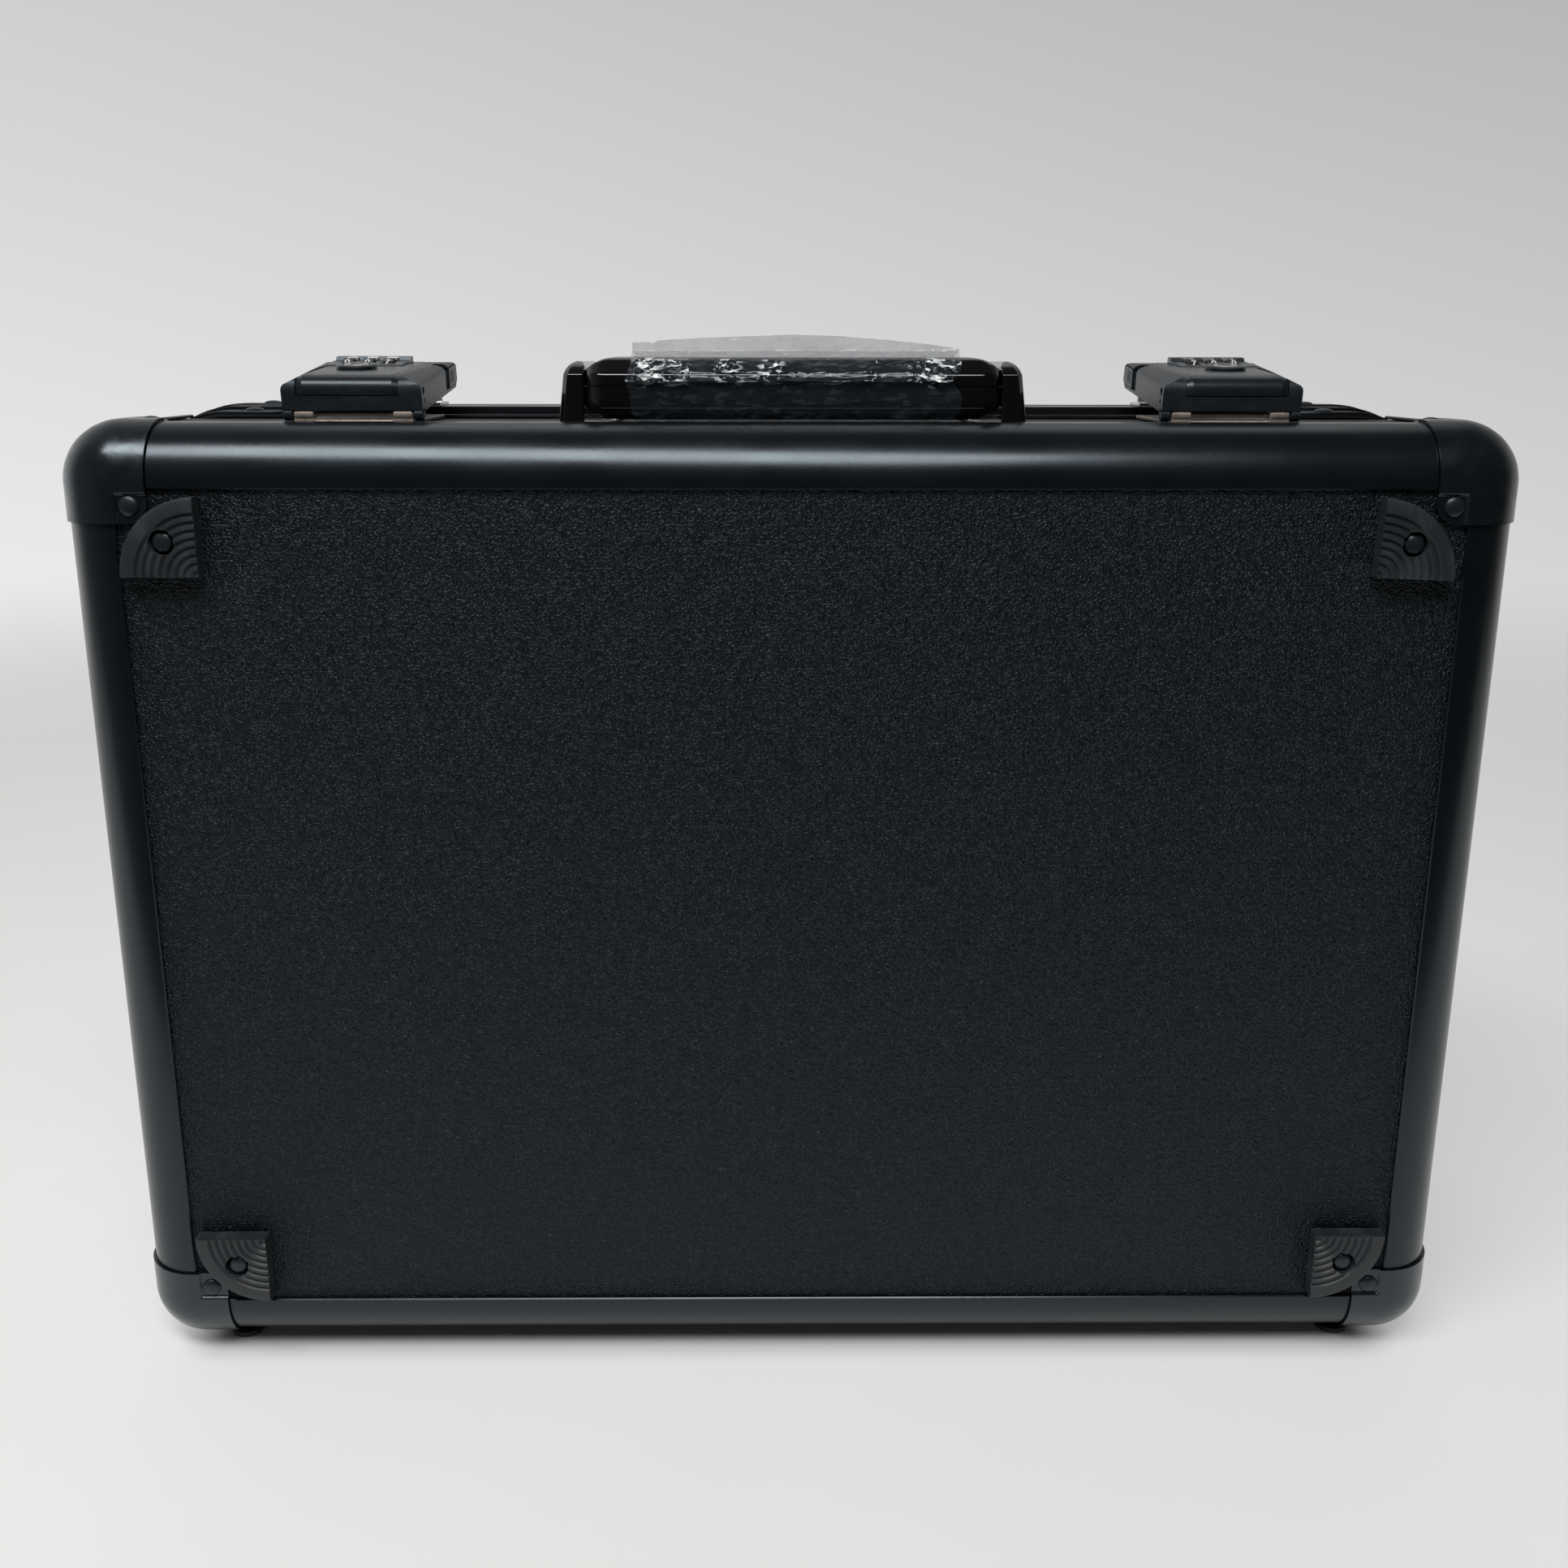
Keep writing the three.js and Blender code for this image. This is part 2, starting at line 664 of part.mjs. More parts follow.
function addHinge(base, lid) {
  const pitch = hingeLength / knuckleCount;
  const leafBottom = hingeZ + knuckleRadius - 0.6;
  const baseY = [splitY - gap - leafThick, splitY - gap];
  const lidY = [splitY + gap, splitY + gap + leafThick];
  let baseLeaf = solidBlock(-hingeHalf, hingeHalf, ...baseY, leafBottom, leafTopZ);
  let lidLeaf = solidBlock(-hingeHalf, hingeHalf, ...lidY, leafBottom, leafTopZ);
  for (let i = 0; i < knuckleCount; i += 1) {
    const x0 = -hingeHalf + i * pitch + gap / 2;
    const knuckle = toSolid(rodX(knuckleRadius, x0, x0 + pitch - gap, splitY, hingeZ));
    if (i % 2 === 0) baseLeaf = baseLeaf.add(knuckle);
    else lidLeaf = lidLeaf.add(knuckle);
  }
  // Each leaf is cut away from the other leaf's knuckles
  for (let i = 0; i < knuckleCount; i += 1) {
    const x0 = -hingeHalf + i * pitch - gap / 2;
    const room = toSolid(rodX(knuckleRadius + gap, x0, x0 + pitch + gap, splitY, hingeZ));
    if (i % 2 === 0) lidLeaf = lidLeaf.subtract(room);
    else baseLeaf = baseLeaf.subtract(room);
  }
  const pin = toSolid(rodX(hingePinRadius, -hingeHalf + 1, hingeHalf - 1, splitY, hingeZ, 8));
  const bore = toSolid(rodX(hingePinRadius + gap, -hingeHalf - 1, hingeHalf + 1, splitY, hingeZ, 8));
  addPart(base, 'hinge_leaf_base_with_pin', baseLeaf.add(pin), hingeSteel);
  addPart(lid, 'hinge_leaf_lid', lidLeaf.subtract(bore), hingeSteel);
}

// Handle

const sideOrigin = new THREE.Vector3(0, 0, 0);

// A side view in (y, z) drawn out along X between x0 and x1.
function sideDraw(shape, x0, x1, curveSegments = 5) {
  sideOrigin.set(x0, 0, 0);
  return drawOut(shape, x1 - x0, sideOrigin, axisY, axisZ, axisX, curveSegments);
}

// A front view in (x, z) drawn out along Y between y0 and y1.
function frontDraw(shape, y0, y1, curveSegments = 5) {
  const origin = new THREE.Vector3(0, y0, 0);
  return drawOut(shape, y1 - y0, origin, axisX, axisZ, axisY, curveSegments);
}

function bracketSolid(sign) {
  const seatZ = wallTopZ + gap;
  const flangeZ = seatZ + bracketFlangeThick;
  const side = new THREE.Shape();
  side.moveTo(bracketFrontY, seatZ);
  side.lineTo(bracketBackY, seatZ);
  const backY = bracketBackY - bracketBackLean;
  side.lineTo(backY, bracketBackRoundZ);
  side.quadraticCurveTo(backY - 1, bracketTopZ, backY - bracketBackRound, bracketTopZ);
  const leanY = bracketFrontY + bracketFrontLean;
  side.lineTo(leanY + bracketFrontRound, bracketTopZ);
  side.quadraticCurveTo(leanY + 2, bracketTopZ, leanY, bracketFrontRoundZ);
  const crownEdgeX = bracketShoulderX - 0.5;
  const front = outline([[sign * bracketFlangeX, seatZ], [sign * bracketOuterX, seatZ]]);
  front.lineTo(sign * bracketShoulderX, bracketShoulderZ);
  front.quadraticCurveTo(sign * crownEdgeX, bracketTopZ, sign * bracketCrownX, bracketTopZ);
  front.lineTo(sign * (bracketInnerX + bracketEdge), bracketTopZ);
  front.lineTo(sign * bracketInnerX, bracketTopZ - bracketEdge);
  front.lineTo(sign * bracketInnerX, flangeZ);
  front.lineTo(sign * bracketFlangeX, flangeZ);
  const sideReach = [sign * (bracketFlangeX - 1), sign * (bracketOuterX + 1)].sort((p, q) => p - q);
  const sideBody = toSolid(sideDraw(side, ...sideReach));
  const body = sideBody.intersect(toSolid(frontDraw(front, bracketFrontY - 1, bracketBackY + 1)));
  const pinReach = [sign * (bracketInnerX - 2), sign * (bracketInnerX + 4)].sort((p, q) => p - q);
  const bore = rodX(handlePinRadius + gap, ...pinReach, handlePivotY, handlePivotZ);
  return body.subtract(toSolid(bore));
}

// The grip's side view, from its round front to the ends of its two arms.
function gripSideView() {
  const low = gripBottomZ;
  const high = gripTopZ;
  const front = gripFrontY;
  const side = new THREE.Shape();
  side.moveTo(front + gripBottomRound, low);
  side.lineTo(gripBackY - 5, low);
  side.quadraticCurveTo(gripBackY, low, gripBackY + 1, handlePivotZ - armRadius);
  side.lineTo(handlePivotY, handlePivotZ - armRadius);
  side.absarc(handlePivotY, handlePivotZ, armRadius, -Math.PI / 2, Math.PI / 2, false);
  side.lineTo(gripBackY + 2, handlePivotZ + armRadius);
  side.quadraticCurveTo(gripBackY - 1, high, gripBackY - 7, high);
  side.lineTo(front + gripTopRound, high);
  side.quadraticCurveTo(front, high, front, high - gripTopRound);
  side.lineTo(front, low + gripBottomRound);
  side.quadraticCurveTo(front, low, front + gripBottomRound, low);
  return side;
}

// The grip's front view, a little larger than the side view in its straight middle.
function gripFrontView() {
  const low = gripBottomZ - 1;
  const high = gripTopZ + 0.5;
  const endLow = gripBottomZ + gripEndRise;
  const endHigh = gripTopZ - gripEndDrop;
  const half = gripHalfLength;
  const front = new THREE.Shape();
  front.moveTo(-half, endLow);
  front.quadraticCurveTo(-half + 3, low, -gripFlatHalf, low);
  front.lineTo(gripFlatHalf, low);
  front.quadraticCurveTo(half - 3, low, half, endLow);
  front.lineTo(half, endHigh);
  front.quadraticCurveTo(half - 6, high, gripFlatHalf, high);
  front.lineTo(-gripFlatHalf, high);
  front.quadraticCurveTo(-half + 6, high, -half, endHigh);
  return front;
}

// The grip's plan: its rounded front, and the gap between its two arms.
function gripPlan() {
  const end = handlePivotY + armRadius + 1;
  const half = gripHalfLength;
  const round = gripEndRound;
  const front = gripFrontY - 0.5;
  const plan = new THREE.Shape();
  plan.moveTo(-half, end);
  plan.lineTo(-half, front + round);
  plan.quadraticCurveTo(-half, front, -half + round, front);
  plan.lineTo(half - round, front);
  plan.quadraticCurveTo(half, front, half, front + round);
  plan.lineTo(half, end);
  plan.lineTo(armInnerX + 3, end);
  plan.lineTo(armInnerX, gripBackY + 6);
  plan.quadraticCurveTo(armInnerX, gripBackY, armInnerX - 8, gripBackY);
  plan.lineTo(-armInnerX + 8, gripBackY);
  plan.quadraticCurveTo(-armInnerX, gripBackY, -armInnerX, gripBackY + 6);
  plan.lineTo(-armInnerX - 3, end);
  return plan;
}

// The grip folds down towards the viewer; two arms run back to its pivot pins.
function gripSolid() {
  const under = new THREE.Vector3(0, 0, gripBottomZ - 5);
  const height = gripTopZ - gripBottomZ + 10;
  const plan = toSolid(drawOut(gripPlan(), height, under, axisX, axisY, axisZ, 4));
  const side = toSolid(sideDraw(gripSideView(), -gripHalfLength - 5, gripHalfLength + 5));
  const front = toSolid(frontDraw(gripFrontView(), gripFrontY - 5, handlePivotY + 10));
  let grip = side.intersect(front).intersect(plan);
  for (const sign of [-1, 1]) {
    const reach = [sign * (gripHalfLength - 4), sign * (bracketInnerX + 3.4)].sort((p, q) => p - q);
    grip = grip.add(toSolid(rodX(handlePinRadius, ...reach, handlePivotY, handlePivotZ)));
  }
  return grip;
}

function addHandle(group) {
  addPart(group, 'handle_bracket_left', bracketSolid(-1), glossHandle);
  addPart(group, 'handle_bracket_right', bracketSolid(1), glossHandle);
  addPart(group, 'handle_grip', gripSolid(), glossHandle);
}

// Latches. Inboard is +1 on the left latch and -1 on the right one.

// The lever's block, from its side view and its chamfered front view.
function leverBlock() {
  const side = new THREE.Shape();
  side.moveTo(leverFront, leverBottom);
  side.lineTo(leverEnd - 3, leverBottom);
  side.lineTo(leverEnd, 3.5);
  side.lineTo(leverEnd - 1.5, leverEndTop - 1.3);
  side.lineTo(leverEnd - 7, leverEndTop);
  side.lineTo(3.5, leverFrontTop);
  side.quadraticCurveTo(leverFront, leverFrontTop, leverFront, 6.5);
  const half = leverHalfWidth;
  const inner = half - leverChamfer;
  const low = leverBottom - 4;
  const high = leverFrontTop + 3;
  const front = outline([
    [-half, low], [half, low], [half, leverSideTop], [half - 1.5, leverSideTop + 2.2],
    [inner, leverChamferTop], [inner, high], [-inner, high], [-inner, leverChamferTop],
    [-half + 1.5, leverSideTop + 2.2], [-half, leverSideTop],
  ]);
  const body = toSolid(sideDraw(side, -half, half, 4));
  return body.intersect(toSolid(frontDraw(front, leverFront - 5, leverEnd + 5)));
}

function leverSolid(inboard) {
  let lever = leverBlock();
  const shift = dialShift * inboard;
  const bezel = outline([[28, 9], [32, 11.2], [50.5, 11.2], [53, 7]]);
  lever = lever.add(toSolid(sideDraw(bezel, shift - bezelHalfWidth, shift + bezelHalfWidth)));
  lever = lever.add(toSolid(rodZ(bossRadius, 8, plugTop - gap, shift, keyBack, 20)));
  lever = lever.subtract(toSolid(rodZ(plugRadius + gap, plugBottom - gap, 16, shift, keyBack)));
  for (const i of [-1, 0, 1]) {
    const x = shift + i * dialPitch;
    const half = dialWidth / 2 + gap;
    const reach = dialRadius + 0.4;
    lever = lever.subtract(solidBlock(x - half, x + half, dialBack - reach, dialBack + reach, -2, 16));
  }
  const axleEnd = 1.5 * dialPitch + 1;
  lever = lever.add(toSolid(rodX(axleRadius, shift - axleEnd, shift + axleEnd, dialBack, dialHeight, 8)));
  const pocketX = [inboard * (buttonInner - gap), inboard * (leverHalfWidth + 1)].sort((p, q) => p - q);
  const pocketY = [buttonStart - buttonTravel - gap, buttonEnd + gap];
  const pocketZ = [buttonBottom - gap, buttonTop + gap];
  lever = lever.subtract(solidBlock(...pocketX, ...pocketY, ...pocketZ));
  // Room for the plate's knuckles, and an ear round the pin at each side
  lever = lever.subtract(toSolid(rodX(pinKnuckleRadius + 0.4, -earStart, earStart, 0, 0)));
  for (const sign of [-1, 1]) {
    const ear = [sign * earStart, sign * leverHalfWidth].sort((p, q) => p - q);
    lever = lever.add(toSolid(rodX(earRadius, ...ear, 0, 0)));
  }
  lever = lever.subtract(toSolid(rodX(leverPinRadius + gap, -30, 30, 0, 0, 8)));
  // The hook reaches over the catch on the lid; its claw is shortened to stay clear
  lever = lever.add(solidBlock(-hookHalfWidth, hookHalfWidth, leverEnd - 7, hookEnd, 5.4, 6.7));
  return lever;
}

function plugSolid() {
  const plug = toSolid(rodZ(plugRadius, plugBottom, plugTop, 0, 0));
  const slotX = [-keySlotHalfLength, keySlotHalfLength];
  const slotY = [-keySlotHalfWidth, keySlotHalfWidth];
  return plug.subtract(solidBlock(...slotX, ...slotY, plugTop - keySlotDepth, plugTop + 1));
}

function dialGeometry() {
  const shape = new THREE.Shape();
  shape.absarc(0, 0, dialRadius, 0, Math.PI * 2, false);
  const hole = new THREE.Path();
  hole.absarc(0, 0, axleRadius + gap, 0, Math.PI * 2, false);
  shape.holes.push(hole);
  return sideDraw(shape, -dialWidth / 2, dialWidth / 2, 10);
}

function plateSolid() {
  const seat = wallTopZ + gap - latchPinZ;
  let plate = solidBlock(-knuckleEnd, knuckleEnd, plateStart, plateEnd, seat, seat + plateThick);
  for (const sign of [-1, 1]) {
    const reach = [sign * knuckleStart, sign * knuckleEnd].sort((p, q) => p - q);
    plate = plate.add(toSolid(rodX(pinKnuckleRadius, ...reach, 0, 0)));
  }
  return plate.add(toSolid(rodX(leverPinRadius, -leverPinEnd, leverPinEnd, 0, 0, 8)));
}

function strikeSolid() {
  const seat = wallTopZ + lidFrameProud + gap;
  const x = [-strikeHalfWidth, strikeHalfWidth];
  const plate = solidBlock(...x, strikeStartY, strikeEndY, seat, seat + strikeThick);
  return plate.add(solidBlock(...x, strikeLipY, strikeLipY + strikeLipThick, seat, strikeLipTop));
}

function addLatch(base, lid, label, inboard) {
  const x = -inboard * latchX;
  const fixed = new THREE.Group();
  fixed.position.set(x, latchPinY, latchPinZ);
  base.add(fixed);
  addPart(fixed, `latch_plate_${label}`, plateSolid(), bronzePlate);
  const swung = new THREE.Group();
  swung.rotation.x = THREE.MathUtils.degToRad(latchRestAngle);
  fixed.add(swung);
  addPart(swung, `latch_lever_${label}`, leverSolid(inboard), latchBody);
  const shift = dialShift * inboard;
  for (const i of [-1, 0, 1]) {
    const dial = addPart(swung, `latch_dial_${label}_${i + 2}`, dialGeometry(), dialBlack);
    dial.position.set(shift + i * dialPitch, dialBack, dialHeight);
  }
  const plug = addPart(swung, `latch_key_plug_${label}`, plugSolid(), plugSteel);
  plug.position.set(shift, keyBack, 0);
  const buttonX = [inboard * buttonInner, inboard * (leverHalfWidth + buttonProud)].sort((p, q) => p - q);
  const button = block(...buttonX, buttonStart, buttonEnd, buttonBottom, buttonTop);
  addPart(swung, `latch_slide_button_${label}`, button, latchBody);
  const strike = addPart(lid, `latch_strike_${label}`, strikeSolid(), strikeSteel);
  strike.position.x = x;
}

// The whole case

const baseGroup = new THREE.Group();
const lidGroup = new THREE.Group();
caseGroup.add(baseGroup, lidGroup);

addPanel(baseGroup, baseShell, 'base_panel');
addBaseWalls(baseGroup);
addRails(baseGroup, baseShell);
addPosts(baseGroup, baseShell, baseFrameStart - gap - (capLength + gap));
addCaps(baseGroup, baseShell);
addQuarterFeet(baseGroup);
addStuds(baseGroup, baseShell);

addPanel(lidGroup, lidShell, 'lid_panel');
addLidWalls(lidGroup);
addRails(lidGroup, lidShell);
addCaps(lidGroup, lidShell);
addStuds(lidGroup, lidShell);

addFrames(baseGroup, lidGroup);
addFoam(baseGroup, lidGroup);
addHinge(baseGroup, lidGroup);
addHandle(baseGroup);
addLatch(baseGroup, lidGroup, 'left', 1);
addLatch(baseGroup, lidGroup, 'right', -1);

export default root;
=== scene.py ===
"""Looks of the graded card storage case: finishes, fine shapes, studio and camera.

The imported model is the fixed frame. Lengths are millimetres in the frame's axes while a
mesh is drawn, and turn into metres when it becomes a piece. +Z is up, +X is to the right,
and the panel with the four quarter-disc feet faces -Y.
"""

from __future__ import annotations

import logging
import math
from dataclasses import dataclass, field
from enum import Enum
from typing import Callable, Iterable, Mapping, Optional, Sequence, Union

import bmesh
import bpy
from mathutils import Matrix, Vector, noise


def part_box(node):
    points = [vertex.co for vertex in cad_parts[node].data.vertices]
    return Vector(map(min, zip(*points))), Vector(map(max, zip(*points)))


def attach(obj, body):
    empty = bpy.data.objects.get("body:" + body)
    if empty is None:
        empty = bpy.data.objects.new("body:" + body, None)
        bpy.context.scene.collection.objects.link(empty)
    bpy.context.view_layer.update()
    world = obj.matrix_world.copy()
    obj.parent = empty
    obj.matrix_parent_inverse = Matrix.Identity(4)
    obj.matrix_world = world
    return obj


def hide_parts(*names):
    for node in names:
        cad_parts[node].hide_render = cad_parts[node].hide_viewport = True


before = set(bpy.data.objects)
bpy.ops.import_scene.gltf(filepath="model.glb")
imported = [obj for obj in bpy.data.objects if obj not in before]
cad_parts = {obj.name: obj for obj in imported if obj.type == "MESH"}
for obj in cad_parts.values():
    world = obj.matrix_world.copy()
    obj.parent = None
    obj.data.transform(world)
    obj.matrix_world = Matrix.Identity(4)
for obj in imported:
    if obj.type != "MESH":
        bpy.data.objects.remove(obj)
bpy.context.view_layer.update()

log = logging.getLogger("card_case")

MM = 0.001
PHOTO_SIDE = 1932
# The base panel's skin in the frame's Y; handle, latches and hinge are measured back from it
CASE_Y = -74.35

Point = tuple[float, float]
Point3 = tuple[float, float, float]
Colour = tuple[float, float, float]
Ring = list[bmesh.types.BMVert]


def node_box(node: str) -> tuple[Vector, Vector]:
    """The lowest and highest corner of a node of the frame, in millimetres."""
    low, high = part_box(node)
    return Vector(low) / MM, Vector(high) / MM


# Shader maths

Value = Union["Wire", float, Sequence[float]]


class Wire:
    """The output of one shader node, with arithmetic on it."""

    def __init__(self, graph: Graph, socket: bpy.types.NodeSocket) -> None:
        """Takes a socket and the graph that it is in."""
        self.graph = graph
        self.socket = socket

    def _is_vector(self) -> bool:
        """Whether the value has more than one number."""
        return self.socket.type in {"VECTOR", "RGBA"}

    def _math(self, operation: str, *values: Value) -> Wire:
        """Adds a Math or Vector Math node.

        Args:
            operation: the node's operation.
            values: its inputs, in order.

        Returns:
            The node's result.
        """
        wide = any(isinstance(v, Wire) and v._is_vector() for v in values)
        kind = "ShaderNodeVectorMath" if wide else "ShaderNodeMath"
        inputs = {i: _widened(v) if wide else v for i, v in enumerate(values)}
        return self.graph.node(kind, {"operation": operation}, inputs)

    def __add__(self, other: Value) -> Wire:
        """Sum."""
        return self._math("ADD", self, other)

    __radd__ = __add__

    def __sub__(self, other: Value) -> Wire:
        """Difference."""
        return self._math("SUBTRACT", self, other)

    def __rsub__(self, other: Value) -> Wire:
        """Difference with the wire on the right."""
        return self._math("SUBTRACT", other, self)

    def __mul__(self, other: Value) -> Wire:
        """Product."""
        return self._math("MULTIPLY", self, other)

    __rmul__ = __mul__

    def __pow__(self, power: float) -> Wire:
        """Power of a plain value."""
        return self._math("POWER", self, power)

    def largest(self, other: Value) -> Wire:
        """The larger of two values."""
        return self._math("MAXIMUM", self, other)

    def size(self) -> Wire:
        """The value without its sign."""
        return self._math("ABSOLUTE", self)

    def ramped(self, low: float, high: float) -> Wire:
        """A smooth step from 0 at low to 1 at high, which may be below low."""
        inputs = {"Value": self, "From Min": low, "From Max": high}
        return self.graph.node("ShaderNodeMapRange", {"interpolation_type": "SMOOTHSTEP"}, inputs)

    def spread(self, low: float, high: float) -> Wire:
        """Carries 0 to 1 over to low to high."""
        return self * (high - low) + low

    def between(self, first: Value, second: Value) -> Wire:
        """The first colour where this wire is 0, the second where it is 1, or a mix."""
        inputs = {0: self, 6: _colour(first), 7: _colour(second)}
        return self.graph.node("ShaderNodeMix", {"data_type": "RGBA"}, inputs, output=2)


def _widened(value: Value) -> Value:
    """A plain number as three equal ones."""
    return (value,) * 3 if isinstance(value, (int, float)) else value


def _colour(value: Value) -> Value:
    """A colour with its alpha, or the wire as it is."""
    short = not isinstance(value, Wire) and len(value) == 3
    return (*value, 1.0) if short else value


class Graph:
    """A material's node tree, with its shader."""

    def __init__(self, name: str) -> None:
        """Starts a material with a plain shader.

        Args:
            name: the material's name.
        """
        self.material = bpy.data.materials.new(name)
        self.material.use_nodes = True
        self.tree = self.material.node_tree
        self.shader = self.tree.nodes["Principled BSDF"]
        place = self.node("ShaderNodeTexCoord", output="Object")
        self.place = place * (1 / MM)

    def node(
        self,
        kind: str,
        settings: Optional[Mapping[str, object]] = None,
        inputs: Optional[Mapping[Union[str, int], Value]] = None,
        output: Union[str, int] = 0,
    ) -> Wire:
        """Adds one node.

        Args:
            kind: the node's type.
            settings: its properties, set before its sockets.
            inputs: the value or wire of each socket, by name or number.
            output: the socket that is wanted.

        Returns:
            The wire from that socket.
        """
        made = self.tree.nodes.new(kind)
        for key, value in (settings or {}).items():
            setattr(made, key, value)
        for key, value in (inputs or {}).items():
            self.plug(made.inputs[key], value)
        return Wire(self, made.outputs[output])

    def plug(self, socket: bpy.types.NodeSocket, value: Value) -> None:
        """Links a wire to a socket, or sets the socket's own value.

        Args:
            socket: the input.
            value: a wire, a number or several numbers.
        """
        if isinstance(value, Wire):
            self.tree.links.new(value.socket, socket)
        else:
            socket.default_value = value

    def set(self, **sockets: Value) -> None:
        """Feeds the shader's sockets; an underscore stands for a space in a name.

        Args:
            sockets: each socket's wire or value.
        """
        for name, value in sockets.items():
            socket = self.shader.inputs[name.replace("_", " ")]
            self.plug(socket, _colour(value) if name.endswith("Color") else value)

    def noise(self, size: float, detail: float = 2.0, stretch: Value = (1.0, 1.0, 1.0)) -> Wire:
        """Noise with features of about a size.

        Args:
            size: the feature size in millimetres.
            detail: the number of finer layers.
            stretch: how the place is scaled along each axis.
        """
        inputs = {"Vector": self.place * stretch, "Scale": 1 / size, "Detail": detail}
        return self.node("ShaderNodeTexNoise", inputs=inputs)

    def pebbles(self, size: float, softness: float) -> Wire:
        """The distance from the middle of rounded cells.

        Args:
            size: the cell size in millimetres.
            softness: how far the cells melt into each other.

        Returns:
            The distance, as a share of the cell size.
        """
        wobble_scale, wobble_share = 0.6, 0.9
        coarse = {"Vector": self.place, "Scale": wobble_scale / size, "Detail": 1.0}
        wobble = self.node("ShaderNodeTexNoise", inputs=coarse, output="Color")
        place = self.place + wobble * (wobble_share * size)
        inputs = {"Vector": place, "Scale": 1 / size, "Smoothness": softness}
        return self.node("ShaderNodeTexVoronoi", {"feature": "SMOOTH_F1"}, inputs)

    def relief(self, height: Wire, depth: float) -> None:
        """Feeds the shader's normal with a bump.

        Args:
            height: the height field, from 0 to 1.
            depth: the height of 1, in millimetres.
        """
        inputs = {"Height": height, "Distance": depth * MM, "Strength": 1.0}
        self.set(Normal=self.node("ShaderNodeBump", inputs=inputs))

    def along(self, axis: str) -> Wire:
        """The place along one axis."""
        return self.node("ShaderNodeSeparateXYZ", inputs={0: self.place}, output=axis)


class SkyGraph(Graph):
    """The world's node tree, whose place is the direction of sight."""

    def __init__(self, world: bpy.types.World) -> None:
        """Starts the node tree of a world.

        Args:
            world: the world.
        """
        world.use_nodes = True
        self.tree = world.node_tree
        self.shader = self.tree.nodes["Background"]
        self.place = self.node("ShaderNodeTexCoord", output="Generated")


# Finishes

# The bluish tint of what the black surfaces reflect
COOL = (0.78, 0.91, 1.0, 1.0)
# The materials made so far, by finish; the frame brings some of its own with the same names
MADE: dict[str, bpy.types.Material] = {}


def scaled(colour: Colour, share: float) -> Colour:
    """A colour made darker or lighter."""
    return tuple(share * c for c in colour)


@dataclass(frozen=True)
class Finish:
    """A finish, made once and shared by the pieces that have it."""

    name: str
    slot: str
    colour: Colour
    roughness: float

    def dress(self, graph: Graph) -> None:
        """Fills the material's node tree."""
        raise NotImplementedError

    def material(self) -> bpy.types.Material:
        """The finish's material, which is made once.

        Returns:
            The material.
        """
        if self.name not in MADE:
            graph = Graph(f"{self.name}_look")
            self.dress(graph)
            MADE[self.name] = graph.material
        return MADE[self.name]


@dataclass(frozen=True)
class PebbleSheet(Finish):
    """Black sheet embossed with a fine leather grain."""

    grain: float = 1.2
    relief_depth: float = 0.50
    shine: float = 0.38

    def dress(self, graph: Graph) -> None:
        """Worm-like ridges of leather, rougher in their valleys, with painted shade darkening the
        valleys.

        Args:
            graph: the material's tree.
        """
        fold = (graph.noise(self.grain, 1) - 0.5).size()
        ridge = 1 - fold.ramped(0.0, 0.2)
        cells = 1 - graph.pebbles(1.1 * self.grain, 0.4)
        patchy = graph.noise(38, 2)
        height = ridge * 0.6 + cells * 0.6
        # Painted shade: where the grain is low, in its valleys, the colour is darkened to 0.6 of itself
        crest = height.ramped(0.4, 1.0)
        graph.set(
            Base_Color=crest.between(scaled(self.colour, 0.6), self.colour),
            Roughness=(1 - crest).spread(self.roughness, self.roughness + 0.1) + patchy * 0.05,
            Specular_IOR_Level=self.shine,
            Specular_Tint=COOL,
        )
        graph.relief(height, self.relief_depth)


@dataclass(frozen=True)
class CoatedExtrusion(Finish):
    """Satin coating on an extrusion, with a very fine texture."""

    texture: float = 1.0
    relief_depth: float = 0.013
    shine: float = 0.5

    def dress(self, graph: Graph) -> None:
        """Fine orange peel, and slow changes of gloss.

        Args:
            graph: the material's tree.
        """
        peel = graph.noise(self.texture, 2)
        cloud = graph.noise(26, 3)
        tint = cloud.between(scaled(self.colour, 0.82), self.colour)
        gloss = cloud.ramped(0.3, 0.7).spread(self.roughness - 0.02, self.roughness + 0.025)
        graph.set(
            Base_Color=tint,
            Roughness=gloss + peel * 0.05,
            Specular_IOR_Level=self.shine,
            Specular_Tint=COOL,
        )
        graph.relief(peel, self.relief_depth)


@dataclass(frozen=True)
class CapPaint(Finish):
    """Painted pressed steel, as glossy as the rails and a little cloudy."""

    shine: float = 0.7

    def dress(self, graph: Graph) -> None:
        """Cloudy gloss over shallow dents left by the press.

        Args:
            graph: the material's tree.
        """
        cloud = graph.noise(5.5, 3)
        dents = graph.noise(9, 1)
        speck = graph.noise(0.5, 2).ramped(0.66, 0.74)
        gloss = cloud.ramped(0.35, 0.65).spread(self.roughness - 0.03, self.roughness + 0.06)
        graph.set(
            Base_Color=(speck * 0.4).between(self.colour, scaled(self.colour, 2.6)),
            Roughness=gloss,
            Specular_IOR_Level=self.shine,
            Specular_Tint=COOL,
        )
        graph.relief(dents + graph.noise(0.35, 2) * 0.05, 0.05)


